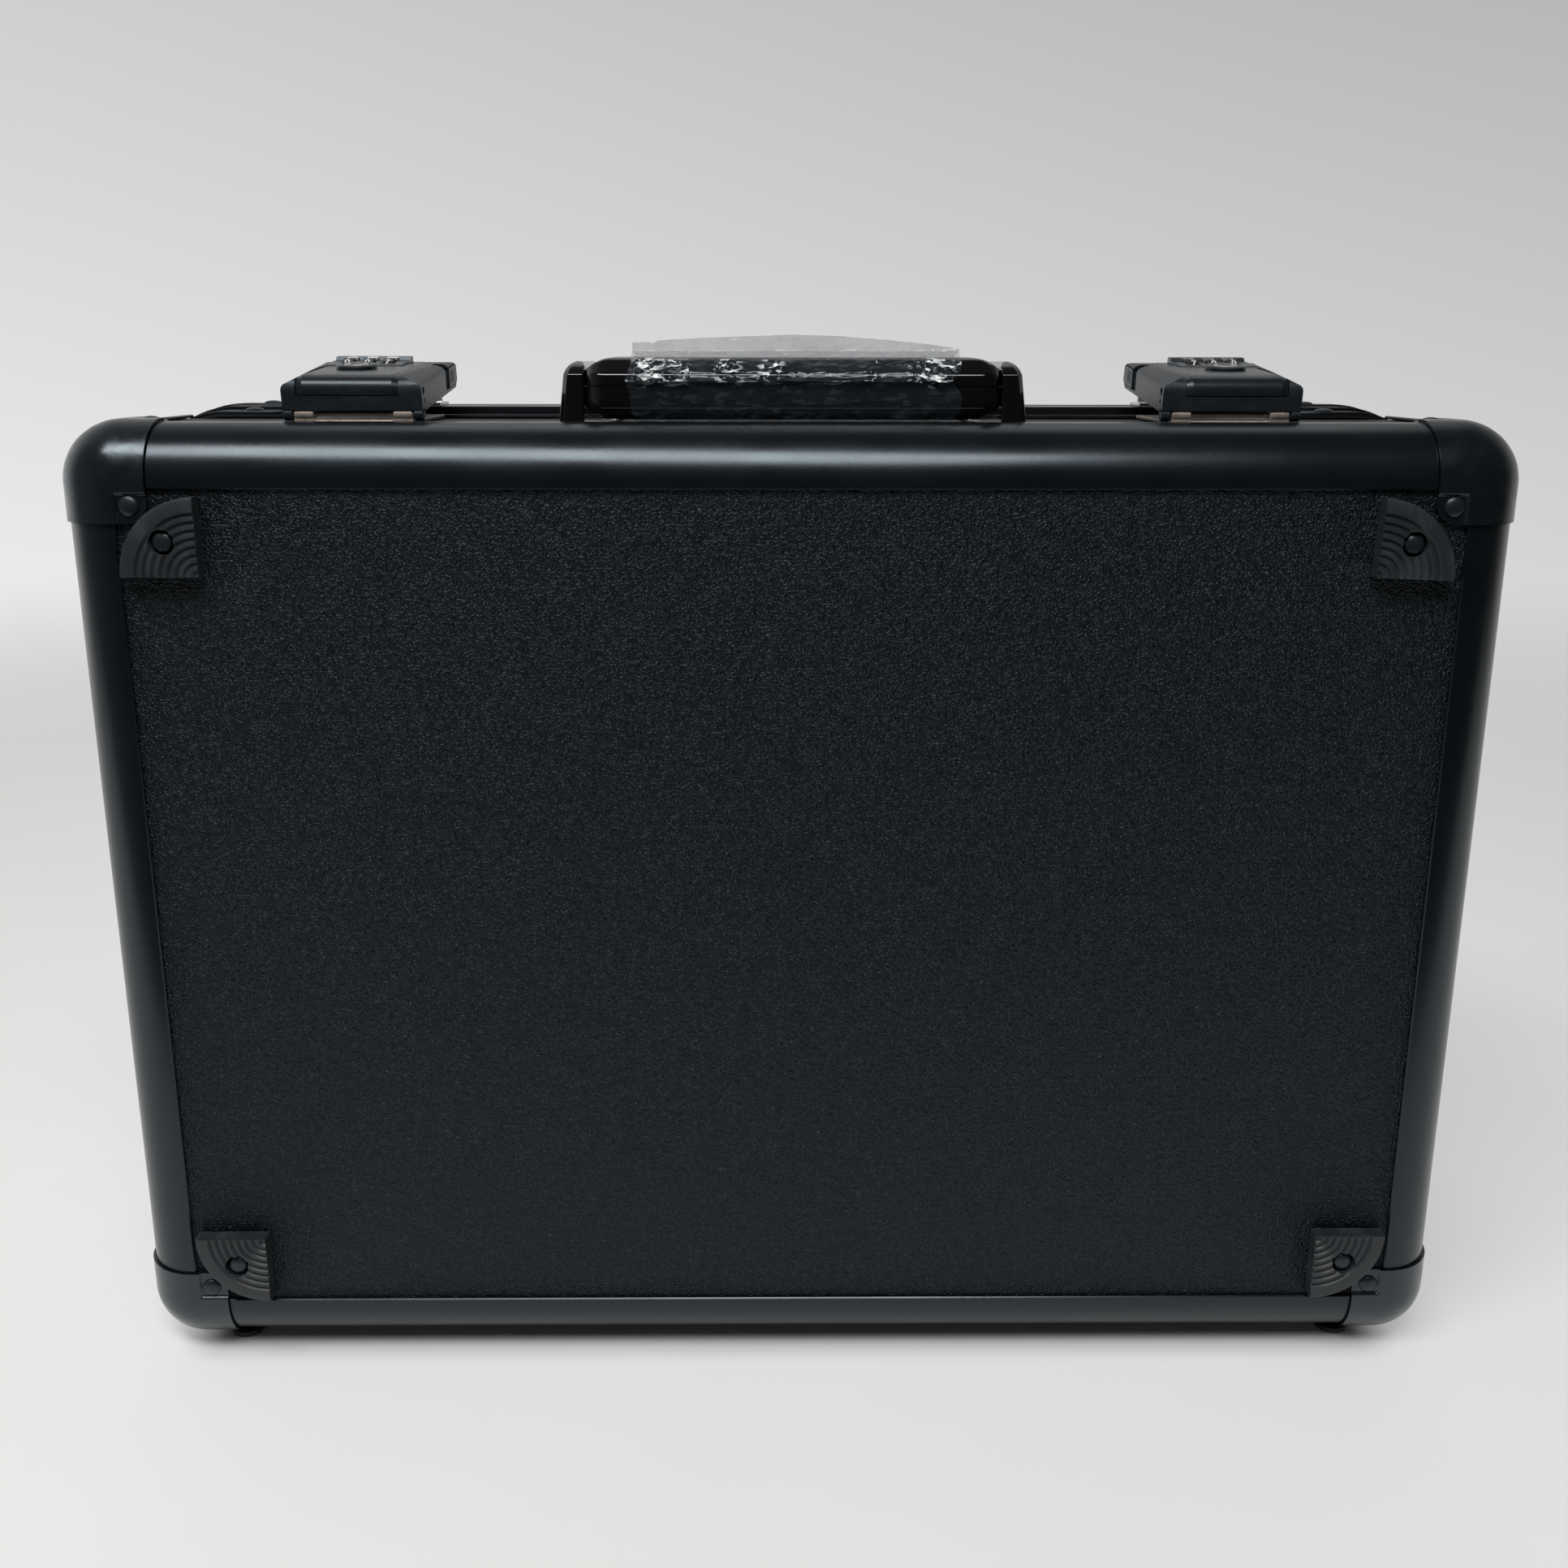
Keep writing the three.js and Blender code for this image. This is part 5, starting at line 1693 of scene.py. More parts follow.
@dataclass
class FilmSleeve:
    """The clear film that is still round the grip, with a loose flap above it.

    Lengths are in millimetres, in the handle's directions.
    """

    start: float = -50.6
    end: float = 52.4
    step: float = 0.55
    flap_line: tuple[Point, ...] = (
        (-51.0, 343.2), (-45.5, 343.4), (-44.2, 342.9), (-42.5, 343.9), (-28.0, 344.7),
        (0.0, 345.7), (14.0, 345.3), (30.0, 344.1), (44.0, 342.7), (53.0, 341.5),
    )
    fold_height: float = 331.6
    crumpled: tuple[tuple[float, float], ...] = (
        (-48.0, 5.0), (-40.0, 3.5), (-34.0, 2.5), (-21.0, 4.0), (-6.0, 5.0), (25.0, 2.5),
        (40.0, 6.0), (48.0, 4.0),
    )
    fade_in: tuple[float, float] = (330.9, 332.2)
    fade_out: tuple[float, float] = (337.2, 339.0)
    fade_back: tuple[float, float] = (24.0, 27.0)
    fade_under: tuple[float, float] = (319.6, 323.0)

    def flap_top(self, x: float) -> float:
        """The height of the flap's upper edge at x.

        Args:
            x: the place across the case.

        Returns:
            The height.
        """
        for (x0, z0), (x1, z1) in zip(self.flap_line, self.flap_line[1:]):
            if x <= x1:
                break
        share = (x - x0) / (x1 - x0)
        return z0 + (z1 - z0) * share + 0.12 * noise.noise(Vector((x * 0.35, 3.0, 1.0)))

    def section(self, x: float) -> list[Point]:
        """The sleeve's outline at x: up the flap's face, round the grip and back up.

        Args:
            x: the place across the case.

        Returns:
            The outline's points.
        """
        top = self.flap_top(x)
        sway = 0.5 * noise.noise(Vector((x * 0.06, 1.0, 7.0)))
        corners = [
            (31.6 + sway, top), (31.2, 340.6), (29.4, 339.6), (26.2, 338.9), (21.6, 336.0),
            (19.7, 334.3), (19.3, 332.8), (18.0, self.fold_height), (19.6, 330.6), (19.7, 326.0),
            (19.9, 322.6), (21.2, 319.9), (23.5, 318.75), (30.0, 318.9), (41.0, 319.0),
            (45.8, 320.6), (47.4, 324.5), (47.5, 331.5), (46.3, 336.6), (43.0, 339.2),
            (39.0, 339.9), (33.6, 340.1), (32.0, 340.7), (32.1 + sway, top),
        ]
        points = []
        for (y0, z0), (y1, z1) in zip(corners, corners[1:]):
            count = max(1, round(math.hypot(y1 - y0, z1 - z0) / 0.6))
            points += [(y0 + (y1 - y0) * i / count, z0 + (z1 - z0) * i / count) for i in range(count)]
        points.append(corners[-1])
        return points

    def crumple(self, x: float, y: float, z: float) -> float:
        """How strongly the film is crumpled at a point, from 0 to 1.

        Args:
            x: the place across.
            y: the place in depth.
            z: the height.

        Returns:
            The share.
        """
        near = max(math.exp(-(((x - c) / w) ** 2)) for c, w in self.crumpled)
        upper = smooth_step(z, *self.fade_in) * (1 - smooth_step(z, *self.fade_out))
        front = 1 - smooth_step(y, *self.fade_back)
        under = (1 - smooth_step(z, *self.fade_under)) * 0.6
        return max(near * upper * front, under, 0.10)

    def edge_at(self, z: float, side: int) -> float:
        """How far an end of the sleeve draws in at a height.

        Args:
            z: the height.
            side: -1 at the left end, 1 at the right one.

        Returns:
            The inset, which is less than nothing where the end sticks out.
        """
        pinch = math.exp(-(((z - self.fold_height) / 2.4) ** 2))
        depth = 3.0 if side > 0 else -1.6
        low = smooth_step(323.5 - z, 0, 5) * (3.4 if side > 0 else 1.4)
        return depth * pinch + low + 0.35 * noise.noise(Vector((z * 0.4, side, 2.0)))

    def build(self) -> None:
        """Makes the sleeve as one thin crumpled skin."""
        count = round((self.end - self.start) / self.step)
        sections = len(self.section(0.0))
        draft = Draft()
        rings = []
        for i in range(count + 1):
            share = i / count
            plain = self.start + (self.end - self.start) * share
            outline = self.resampled(self.section(plain), sections)
            ring = []
            for j, (y, z) in enumerate(outline):
                inset = self.edge_at(z, -1) * (1 - share) ** 6 - self.edge_at(z, 1) * share**6
                x = plain + inset
                before, after = outline[max(j - 1, 0)], outline[min(j + 1, sections - 1)]
                along = Vector((after[0] - before[0], after[1] - before[1])).normalized()
                # The outline runs from the flap down the front, so its right is outside
                out = Vector((along.y, -along.x))
                spot = Vector((x, y, z))
                creased = noise.voronoi(spot * 0.34 + Vector((5, 1, 2)))[0]
                fine = noise.voronoi(spot * 0.9)[0]
                push = (creased[1] - creased[0]) * 2.1 + (fine[1] - fine[0]) * 0.5
                lift = self.crumple(x, y, z) * push + 0.10 * noise.noise(spot * 0.25)
                ring.append(Vector((x, y + out.x * lift + CASE_Y, z + out.y * lift)))
            rings.append(draft.ring(ring))
        draft.skin(rings, around=False)
        sleeve = draft.to_object("handle_film_sleeve")
        placed(sleeve, FILM, "handle", sharp=38)

    @staticmethod
    def resampled(points: list[Point], count: int) -> list[Point]:
        """Spreads points evenly along an outline.

        Args:
            points: the outline.
            count: how many points are wanted.

        Returns:
            The new points.
        """
        lengths = [0.0]
        for (y0, z0), (y1, z1) in zip(points, points[1:]):
            lengths.append(lengths[-1] + math.hypot(y1 - y0, z1 - z0))
        made = []
        k = 0
        for i in range(count):
            goal = lengths[-1] * i / (count - 1)
            while k < len(lengths) - 2 and lengths[k + 1] < goal:
                k += 1
            share = (goal - lengths[k]) / max(lengths[k + 1] - lengths[k], 1e-9)
            share = min(share, 1.0)
            (y0, z0), (y1, z1) = points[k], points[k + 1]
            made.append((y0 + (y1 - y0) * share, z0 + (z1 - z0) * share))
        return made


# Latches


def curve(start: Point, pull: Point, end: Point, steps: int) -> list[Point]:
    """Points on a curve that starts and ends towards one point, both ends included.

    Args:
        start: the first point.
        pull: the point that both ends head for.
        end: the last point.
        steps: the number of chords.

    Returns:
        The points.
    """
    made = []
    for i in range(steps + 1):
        t = i / steps
        a, b, c = (1 - t) ** 2, 2 * t * (1 - t), t * t
        made.append(
            (a * start[0] + b * pull[0] + c * end[0], a * start[1] + b * pull[1] + c * end[1])
        )
    return made


@dataclass
class Latch:
    """A combination latch: plate, lever, three dials, key plug, slide button and catch.

    Lengths are in millimetres, in a place at the lever's pin: x is the case's, v runs back
    along the lever and w up from it. Inboard is +1 on the left latch and -1 on the right.
    """

    side: str
    inboard: int
    digits: tuple[int, int, int]
    centre_x: float = 137.7
    pin: Point = (25.5, 321.4)
    rest_angle: float = 7.0
    half_width: float = 21.9
    ear_inner: float = 18.9
    plate_half: float = 18.6
    plate_thick: float = 1.2
    roll_length: float = 6.2
    pin_half: float = 21.6
    catch_half: float = 14.2
    insert_half: float = 15.9
    insert_shift: float = -1.4
    dial_shift: float = -4.0
    dial_pitch: float = 6.7
    dial_radius: float = 5.4
    dial_width: float = 3.8
    dial_centre: Point = (41.0, 6.6)
    key_back: float = 24.0
    boss_radius: float = 6.6
    plug_radius: float = 4.1
    plug_floor: float = 5.1
    plug_top: float = 12.45
    wall_top: float = 318.2
    lid_frame_top: float = 322.0

    @property
    def fixed(self) -> Matrix:
        """The place of the pieces that stay on the base."""
        y, z = self.pin
        return Matrix.Translation((-self.inboard * self.centre_x, y + CASE_Y, z))

    @property
    def swung(self) -> Matrix:
        """The place of the pieces that go with the lever."""
        return self.fixed @ Matrix.Rotation(math.radians(self.rest_angle), 4, "X")

    @property
    def lever_path(self) -> list[Point]:
        """The lever's upper surface in (v, w): up its rolled front, then back."""
        roll = curve((-1.9, 6.5), (-1.9, 11.5), (3.7, 11.6), 9)
        return [(-1.9, 5.9)] + roll + [(12.0, 11.3), (28.0, 10.6), (50.4, 9.6)]

    @property
    def plug_place(self) -> Matrix:
        """The floor of the hole that the key plug turns in."""
        return self.upright(self.dial_shift, self.key_back, self.plug_floor)

    def x(self, value: float) -> float:
        """A length across the latch, measured from its centre towards the case's middle."""
        return self.inboard * value

    def draw_side(self, outline: Sequence[Point], x0: float, x1: float) -> Draft:
        """Draws an outline in (v, w) across the latch between two places.

        Args:
            outline: the outline.
            x0: one end.
            x1: the other end.

        Returns:
            The drawn solid.
        """
        draft, place = Draft(), self.swung
        draft.prism(outline, (x0, x1), lambda v, w, x: place @ Vector((self.x(x), v, w)))
        return draft

    def draw_over(self, section: Sequence[Point], path: Sequence[Point]) -> Draft:
        """Sweeps a section in (across, up) along a path over the lever.

        Args:
            section: the section, measured from the path.
            path: the points in (v, w).

        Returns:
            The drawn solid.
        """
        draft = Draft()
        place = self.swung
        rings = []
        for i, here in enumerate(path):
            before, after = path[max(i - 1, 0)], path[min(i + 1, len(path) - 1)]
            along = Vector((after[0] - before[0], after[1] - before[1])).normalized()
            up = Vector((-along.y, along.x))
            rings.append(
                draft.ring(
                    place @ Vector((self.x(a), here[0] + up.x * b, here[1] + up.y * b))
                    for a, b in section
                )
            )
        draft.solid(rings)
        return draft

    def drawn_block(self, low: Sequence[float], high: Sequence[float]) -> Draft:
        """A block in the lever's place.

        Args:
            low: its lowest corner.
            high: its highest corner.

        Returns:
            The block.
        """
        draft = Draft()
        ends = sorted((self.x(low[0]), self.x(high[0])))
        draft.block((ends[0], *low[1:]), (ends[1], *high[1:]), self.swung)
        return draft

    def upright(self, x: float, v: float, w: float) -> Matrix:
        """A place on the lever whose local Z points away from the case."""
        return self.swung @ Matrix.Translation((self.x(x), v, w))

    def crosswise(self, x: float, v: float, w: float) -> Matrix:
        """A place on the lever whose local Z points towards the case's middle."""
        return self.upright(x, v, w) @ sideways(self.inboard)

    def disc(self, radius: float, height: float, place: Matrix) -> Draft:
        """A plain round cutter.

        Args:
            radius: its radius.
            height: its height.
            place: the middle of its base.

        Returns:
            The cutter.
        """
        draft = Draft()
        draft.revolve(rod_profile(radius, height), place)
        return draft

    def build(self) -> None:
        """Makes the latch's pieces."""
        self.build_lever()
        self.build_insert()
        self.build_boss()
        self.build_plug()
        for i in (-1, 0, 1):
            self.build_dial(i)
        self.build_button()
        self.build_plate()
        self.build_catch()

    def build_lever(self) -> None:
        """Makes the lever's moulding with its cut-outs, ears and hook."""
        w = self.half_width
        body = [(-1.9, 1.5), (-1.3, 0.9), (53.8, 0.8), (57.0, 3.3), (56.3, 8.0), (54.6, 8.9)]
        body += reversed(self.lever_path[1:])
        lever = self.draw_side(body, -w, w).to_object(f"latch_{self.side}_lever")
        front, place = Draft(), self.swung
        # The lever's outline from the front: its lower edges square, its upper ones rounded
        outline = [(-w, -3), (w, -3), (w, 7.2)]
        outline += arc((w - 2.2, 7.6), 2.2, 5, 55, 4)
        outline += [(w - 5.0, 11.0), (w - 7.0, 11.8), (w - 9, 13.5)]
        outline += [(-w + 7.5, 13.5), (-w + 6.0, 11.8), (-w + 4.4, 11.0)]
        outline += arc((-w + 2.2, 7.6), 2.2, 125, 175, 4) + [(-w, 7.2)]
        front.prism(outline, (-10, 70), lambda a, b, v: place @ Vector((self.x(a), v, b)))
        carved(lever, front, Cut.SHARED)
        half = self.insert_half + 0.2
        shift = self.insert_shift
        section = [(shift - half, -1.5), (shift + half, -1.5), (shift + half, 4), (shift - half, 4)]
        carved(lever, self.draw_over(section, self.lever_path + [(50.9, 9.57)]))
        self.cut_openings(lever)
        for x0, x1 in ((-w, -self.ear_inner), (self.ear_inner, w)):
            ear = Draft()
            ear.revolve(rod_profile(2.1, x1 - x0, 0.3), self.crosswise(x0, 0, 0), 24)
            carved(lever, ear, Cut.JOINED)
        carved(lever, self.drawn_block((-9, 50, 5.4), (9, 69.5, 6.7)), Cut.JOINED)
        bevelled(lever, 0.32, 3, 28)
        placed(lever, LATCH, f"lever_{self.side}", [f"latch_lever_{self.side}"], 30)

    def cut_openings(self, lever: bpy.types.Object) -> None:
        """Cuts the dials' slots, the plug's hole, the button's pocket and the small holes.

        Args:
            lever: the lever.
        """
        half, v = self.dial_width / 2 + 0.3, self.dial_centre[0]
        reach = self.dial_radius + 0.4
        for i in (-1, 0, 1):
            x = self.dial_shift + i * self.dial_pitch
            carved(lever, self.drawn_block((x - half, v - reach, -2), (x + half, v + reach, 16)))
        carved(lever, self.disc(self.plug_radius + 0.3, 12, self.plug_place))
        carved(lever, self.drawn_block((17.8, 37.6, 1.9), (24, 53.9, 8.6)))
        carved(lever, self.drawn_block((17.2, 37.6, 6.0), (24, 43.2, 14)))
        inner = self.ear_inner
        carved(lever, self.disc(2.3, 2 * inner, self.crosswise(-inner, 0, 0)))
        carved(lever, self.disc(1.35, 4, self.crosswise(20.6, 1.1, 7.0)))
        carved(lever, self.disc(0.8, 4, self.crosswise(20.8, 1.7, 4.0)))

    def build_insert(self) -> None:
        """Makes the insert over the lever's front and top, with the dials' raised block."""
        half, shift, top = self.insert_half, self.insert_shift, 0.15
        section = [
            (shift - half, -1.35), (shift + half, -1.35), (shift + half, -0.5),
            (shift + half - 1.9, top), (shift - half + 1.9, top), (shift - half, -0.5),
        ]
        path = [(-1.9, 6.2)] + self.lever_path[1:-1] + [(50.2, 9.6)]
        insert = self.draw_over(section, path).to_object(f"latch_{self.side}_insert")
        rise = [(29.0, 9.6), (33.0, 10.95), (46.7, 10.75), (47.3, 11.65), (50.4, 11.6)]
        rise += [(51.0, 10.8), (51.0, 9.4), (50.0, 8.4), (29.0, 9.2)]
        middle = self.dial_shift
        carved(insert, self.draw_side(rise, middle - 12.6, middle + 12.6), Cut.JOINED)
        for i in (-1, 0, 1):
            x = middle + i * self.dial_pitch
            half = self.dial_width / 2 + 0.25
            carved(insert, self.drawn_block((x - half, 35.4, 4), (x + half, 46.9, 16)))
        carved(insert, self.disc(self.boss_radius - 0.4, 12, self.plug_place))
        bevelled(insert, 0.26, 3, 18)
        placed(insert, INSERT, f"lever_{self.side}", sharp=30)
        trims = Draft()
        for i in (-1, 0, 1):
            x = self.x(middle + i * self.dial_pitch)
            trims.block((x - 1.95, 46.6, 10.3), (x + 1.95, 47.4, 11.74), self.swung)
        made = trims.to_object(f"latch_{self.side}_window_trims")
        bevelled(made, 0.18, 2)
        placed(made, PLUG, f"lever_{self.side}")

    def build_boss(self) -> None:
        """Makes the ridged boss round the key plug."""
        r, hole = self.boss_radius, self.plug_radius + 0.25
        profile = [
            (hole, 9.0), (r - 0.5, 9.0), (r - 0.15, 9.3), (r, 9.9), (r, 10.7), (r - 0.28, 10.85),
            (r - 0.28, 11.15), (r, 11.3), (r, 11.75), (r - 0.15, 12.05), (r - 0.5, 12.25),
            (r - 1.1, 12.35), (hole + 0.35, 12.35), (hole, 12.1),
        ]
        draft = Draft()
        place = self.upright(self.dial_shift, self.key_back, 0)
        draft.revolve(profile, place, 56, hollow=True)
        placed(draft.to_object(f"latch_{self.side}_boss"), INSERT, f"lever_{self.side}", sharp=28)

    def build_plug(self) -> None:
        """Makes the key plug, dished, with its keyway."""
        r, top = self.plug_radius, self.plug_top
        profile = [
            (0, 5.4), (r, 5.4), (r, top - 0.5), (r - 0.15, top - 0.15), (r - 0.5, top),
            (r - 1.0, top), (r - 1.3, top - 0.25), (0, top - 0.35),
        ]
        draft = Draft()
        draft.revolve(profile, self.upright(self.dial_shift, self.key_back, 0), 48)
        plug = draft.to_object(f"latch_{self.side}_key_plug")
        x, v = self.dial_shift, self.key_back
        carved(plug, self.drawn_block((x - 2.4, v - 0.5, top - 2.6), (x + 1.6, v + 0.5, top + 1)))
        carved(plug, self.disc(0.95, 3.6, self.upright(x + 1.6, v, top - 2.6)))
        bevelled(plug, 0.08, 2, 40)
        placed(plug, PLUG, f"key_plug_{self.side}", [f"latch_key_plug_{self.side}"], 25)

    def build_dial(self, index: int) -> None:
        """Makes one number wheel, notched between its ten digits.

        Args:
            index: -1, 0 or 1 along X.
        """
        body = f"dial_{self.side}_{index + 2}"
        half, r = self.dial_width / 2, self.dial_radius
        middle = self.inboard * self.dial_shift + index * self.dial_pitch
        v, w = self.dial_centre
        place = self.swung @ Matrix.Translation((middle, v, w))
        wheel = Draft()
        steps, bore, notch_depth = 100, 1.4, 0.42
        rings = []
        for i in range(steps):
            angle = math.tau * i / steps
            notch = notch_depth * max(0.0, math.cos(angle * 10 + math.pi)) ** 6
            rim = r - notch
            profile = (
                (-half, bore), (-half, rim - 0.35), (-half + 0.3, rim), (half - 0.3, rim),
                (half, rim - 0.35), (half, bore),
            )
            rings.append(
                wheel.ring(
                    place @ Vector((x, -q * math.sin(angle), q * math.cos(angle))) for x, q in profile
                )
            )
        wheel.skin(rings, around=True, along=True)
        name = f"latch_{self.side}_dial_{index + 2}"
        node = f"latch_dial_{self.side}_{index + 2}"
        placed(wheel.to_object(name), DIAL, body, [node], 30)
        shown = self.digits[index + 1]
        digits = Draft()
        for step in range(10):
            digit_mesh(digits, str((shown + step) % 10), 30 + 36 * step, r, place)
        placed(digits.to_object(name + "_digits"), DIGIT, body)

    def build_button(self) -> None:
        """Makes the slide button, ridged for the thumb."""
        button = self.drawn_block((18.1, 43.5, 2.2), (self.half_width + 0.1, 53.6, 8.3))
        made = button.to_object(f"latch_{self.side}_slide_button")
        for i in range(4):
            v = 45.4 + i * 1.5
            carved(made, self.drawn_block((self.half_width - 0.25, v, 3.2), (24, v + 0.7, 7.4)))
        bevelled(made, 0.2, 2)
        node = f"latch_slide_button_{self.side}"
        placed(made, LATCH, f"slide_button_{self.side}", [node])

    def build_plate(self) -> None:
        """Makes the hinge plate with its rolled knuckles, and the pin through them."""
        seat = self.wall_top + 0.3 - self.pin[1]
        half, length, top = self.plate_half, self.roll_length, seat + self.plate_thick
        plate = Draft()
        plate.block((-half, -1.2, seat), (half, 48.5, top), self.fixed)
        made = plate.to_object(f"latch_{self.side}_plate")
        bevelled(made, 0.4, 3)
        placed(made, BRONZE, "base", [f"latch_plate_{self.side}"])
        rolls = Draft()
        for start in (-half, half - length):
            place = self.fixed @ Matrix.Translation((start, 0, 0)) @ sideways()
            rolls.revolve(rod_profile(1.9, length, 0.35), place, 28)
            rolls.block((start, -1.4, seat + 0.3), (start + length, -0.6, 0.2), self.fixed)
        made = rolls.to_object(f"latch_{self.side}_knuckles")
        bevelled(made, 0.15, 2, 40)
        placed(made, BRONZE, "base")
        pin = Draft()
        place = self.fixed @ Matrix.Translation((-self.pin_half, 0, 0)) @ sideways()
        pin.revolve(rod_profile(0.8, 2 * self.pin_half, 0.2), place, 20)
        placed(pin.to_object(f"latch_{self.side}_pin"), BRONZE, "base")

    def build_catch(self) -> None:
        """Makes the catch on the lid: a screwed plate with a rounded lip."""
        seat = self.lid_frame_top + 0.3
        x = -self.inboard * self.centre_x
        outline = [(88.4, seat), (104.0, seat), (104.0, seat + 1.0), (93.6, seat + 1.0)]
        outline += [(93.2, seat + 1.4), (93.2, 325.7), (92.9, 326.1), (92.3, 326.1), (92.0, 325.7)]
        outline += [(92.0, seat + 1.4), (91.7, seat + 1.0), (88.4, seat + 1.0)]
        draft = Draft()
        ends = (x - self.catch_half, x + self.catch_half)
        draft.prism(outline, ends, lambda y, z, end: Vector((end, y + CASE_Y, z)))
        made = draft.to_object(f"latch_{self.side}_catch")
        bevelled(made, 0.25, 2, 50)
        placed(made, ZINC, "lid", [f"latch_strike_{self.side}"])
        heads = Draft()
        head = RivetHead(1.9, 0.7)
        for offset in (-9.0, 9.0):
            head.draw(heads, Matrix.Translation((x + offset, 99.2 + CASE_Y, seat + 0.95)))
        placed(heads.to_object(f"latch_{self.side}_catch_screws"), ZINC, "lid")


def digit_mesh(draft: Draft, digit: str, angle: float, radius: float, place: Matrix) -> None:
    """Adds a raised digit on a wheel's rim.

    Args:
        draft: what it is added to.
        digit: the digit.
        angle: how far it is turned from straight up towards the hinge, in degrees.
        radius: the wheel's radius, in millimetres.
        place: the wheel's place, its axis along X.
    """
    # The digit is cut into strips, so that it can follow the rim
    written = bpy.data.curves.new("digit", "FONT")
    written.body = digit
    written.size = 3.5
    written.align_x = "CENTER"
    written.align_y = "CENTER"
    written.offset = 0.055
    written.extrude = 0.06
    holder = bpy.data.objects.new("digit", written)
    bpy.context.scene.collection.objects.link(holder)
    graph = bpy.context.evaluated_depsgraph_get()
    mesh = bpy.data.meshes.new_from_object(holder.evaluated_get(graph))
    bpy.data.objects.remove(holder)
    bpy.data.curves.remove(written)
    flat = bmesh.new()
    flat.from_mesh(mesh)
    bpy.data.meshes.remove(mesh)
    for i in range(-5, 6):
        sliced(flat, (0, i * 0.25, 0), (0, 1, 0), 0.001)
    middle = sum((v.co.y for v in flat.verts), 0.0) / max(len(flat.verts), 1)
    made = {}
    for vert in flat.verts:
        reach = radius + 0.01 + vert.co.z
        turn = math.radians(angle) - (vert.co.y - middle) / radius
        spot = Vector((vert.co.x * 0.95, -reach * math.sin(turn), reach * math.cos(turn)))
        made[vert] = draft.mesh.verts.new(place @ spot)
    for face in flat.faces:
        draft.mesh.faces.new([made[vert] for vert in face.verts])
    flat.free()


# Hinge and inside


@dataclass
class ContinuousHinge:
    """The long hinge under the split: two leaves, rolled knuckles, a pin and screws."""

    split_y: float = 87.5
    length: float = 370.0
    knuckles: int = 7
    leaf_thick: float = 1.1
    leaf_top: float = 11.2
    screws: int = 9

    def rod(self, draft: Draft, radius: float, x0: float, x1: float, chamfer: float = 0.0) -> None:
        """Draws a rod on the hinge's axis between two places along X."""
        place = Matrix.Translation((x0, self.split_y + CASE_Y, HINGE_AXIS_Z)) @ sideways()
        draft.revolve(rod_profile(radius, x1 - x0, chamfer), place, 28)

    def build(self) -> None:
        """Makes both leaves, the pin and the screws."""
        half = self.length / 2
        pitch = self.length / self.knuckles
        leaves = (("base", "hinge_leaf_base_with_pin", -1, 0), ("lid", "hinge_leaf_lid", 1, 1))
        for body, node, side, first in leaves:
            near = self.split_y + side * GAP + CASE_Y
            far = near + side * self.leaf_thick
            low_y, high_y = sorted((near, far))
            leaf = Draft()
            leaf.block((-half, low_y, HINGE_AXIS_Z + LEAF_RISE), (half, high_y, self.leaf_top))
            made = leaf.to_object(f"hinge_{body}_leaf")
            for i in range(self.knuckles):
                x0 = -half + i * pitch
                rod = Draft()
                if i % 2 == first:
                    self.rod(rod, KNUCKLE_RADIUS, x0 + GAP / 2, x0 + pitch - GAP / 2, 0.25)
                    carved(made, rod, Cut.JOINED)
                else:
                    self.rod(rod, KNUCKLE_RADIUS + GAP, x0 - GAP / 2, x0 + pitch + GAP / 2)
                    carved(made, rod)
            heads = Draft()
            for i in range(self.screws):
                x = -half + (i + 0.5) * self.length / self.screws
                face = facing((x, near, self.leaf_top - 2.6), (0, -side, 0))
                sink = Draft()
                sink.revolve(((0, -0.6), (1.0, -0.6), (1.75, 0.2), (0, 0.2)), face, 24)
                carved(made, sink)
                head = ((0, -0.62), (0.98, -0.62), (1.62, -0.06), (0.5, -0.03), (0, -0.12))
                heads.revolve(head, face, 24)
            bevelled(made, 0.12, 2, 40)
            placed(made, HINGE, body, [node])
            placed(heads.to_object(f"hinge_{body}_screws"), RIVET, body)
        pin = Draft()
        self.rod(pin, 0.9, -half - 0.9, half + 0.9, 0.3)
        placed(pin.to_object("hinge_pin"), HINGE, "base")


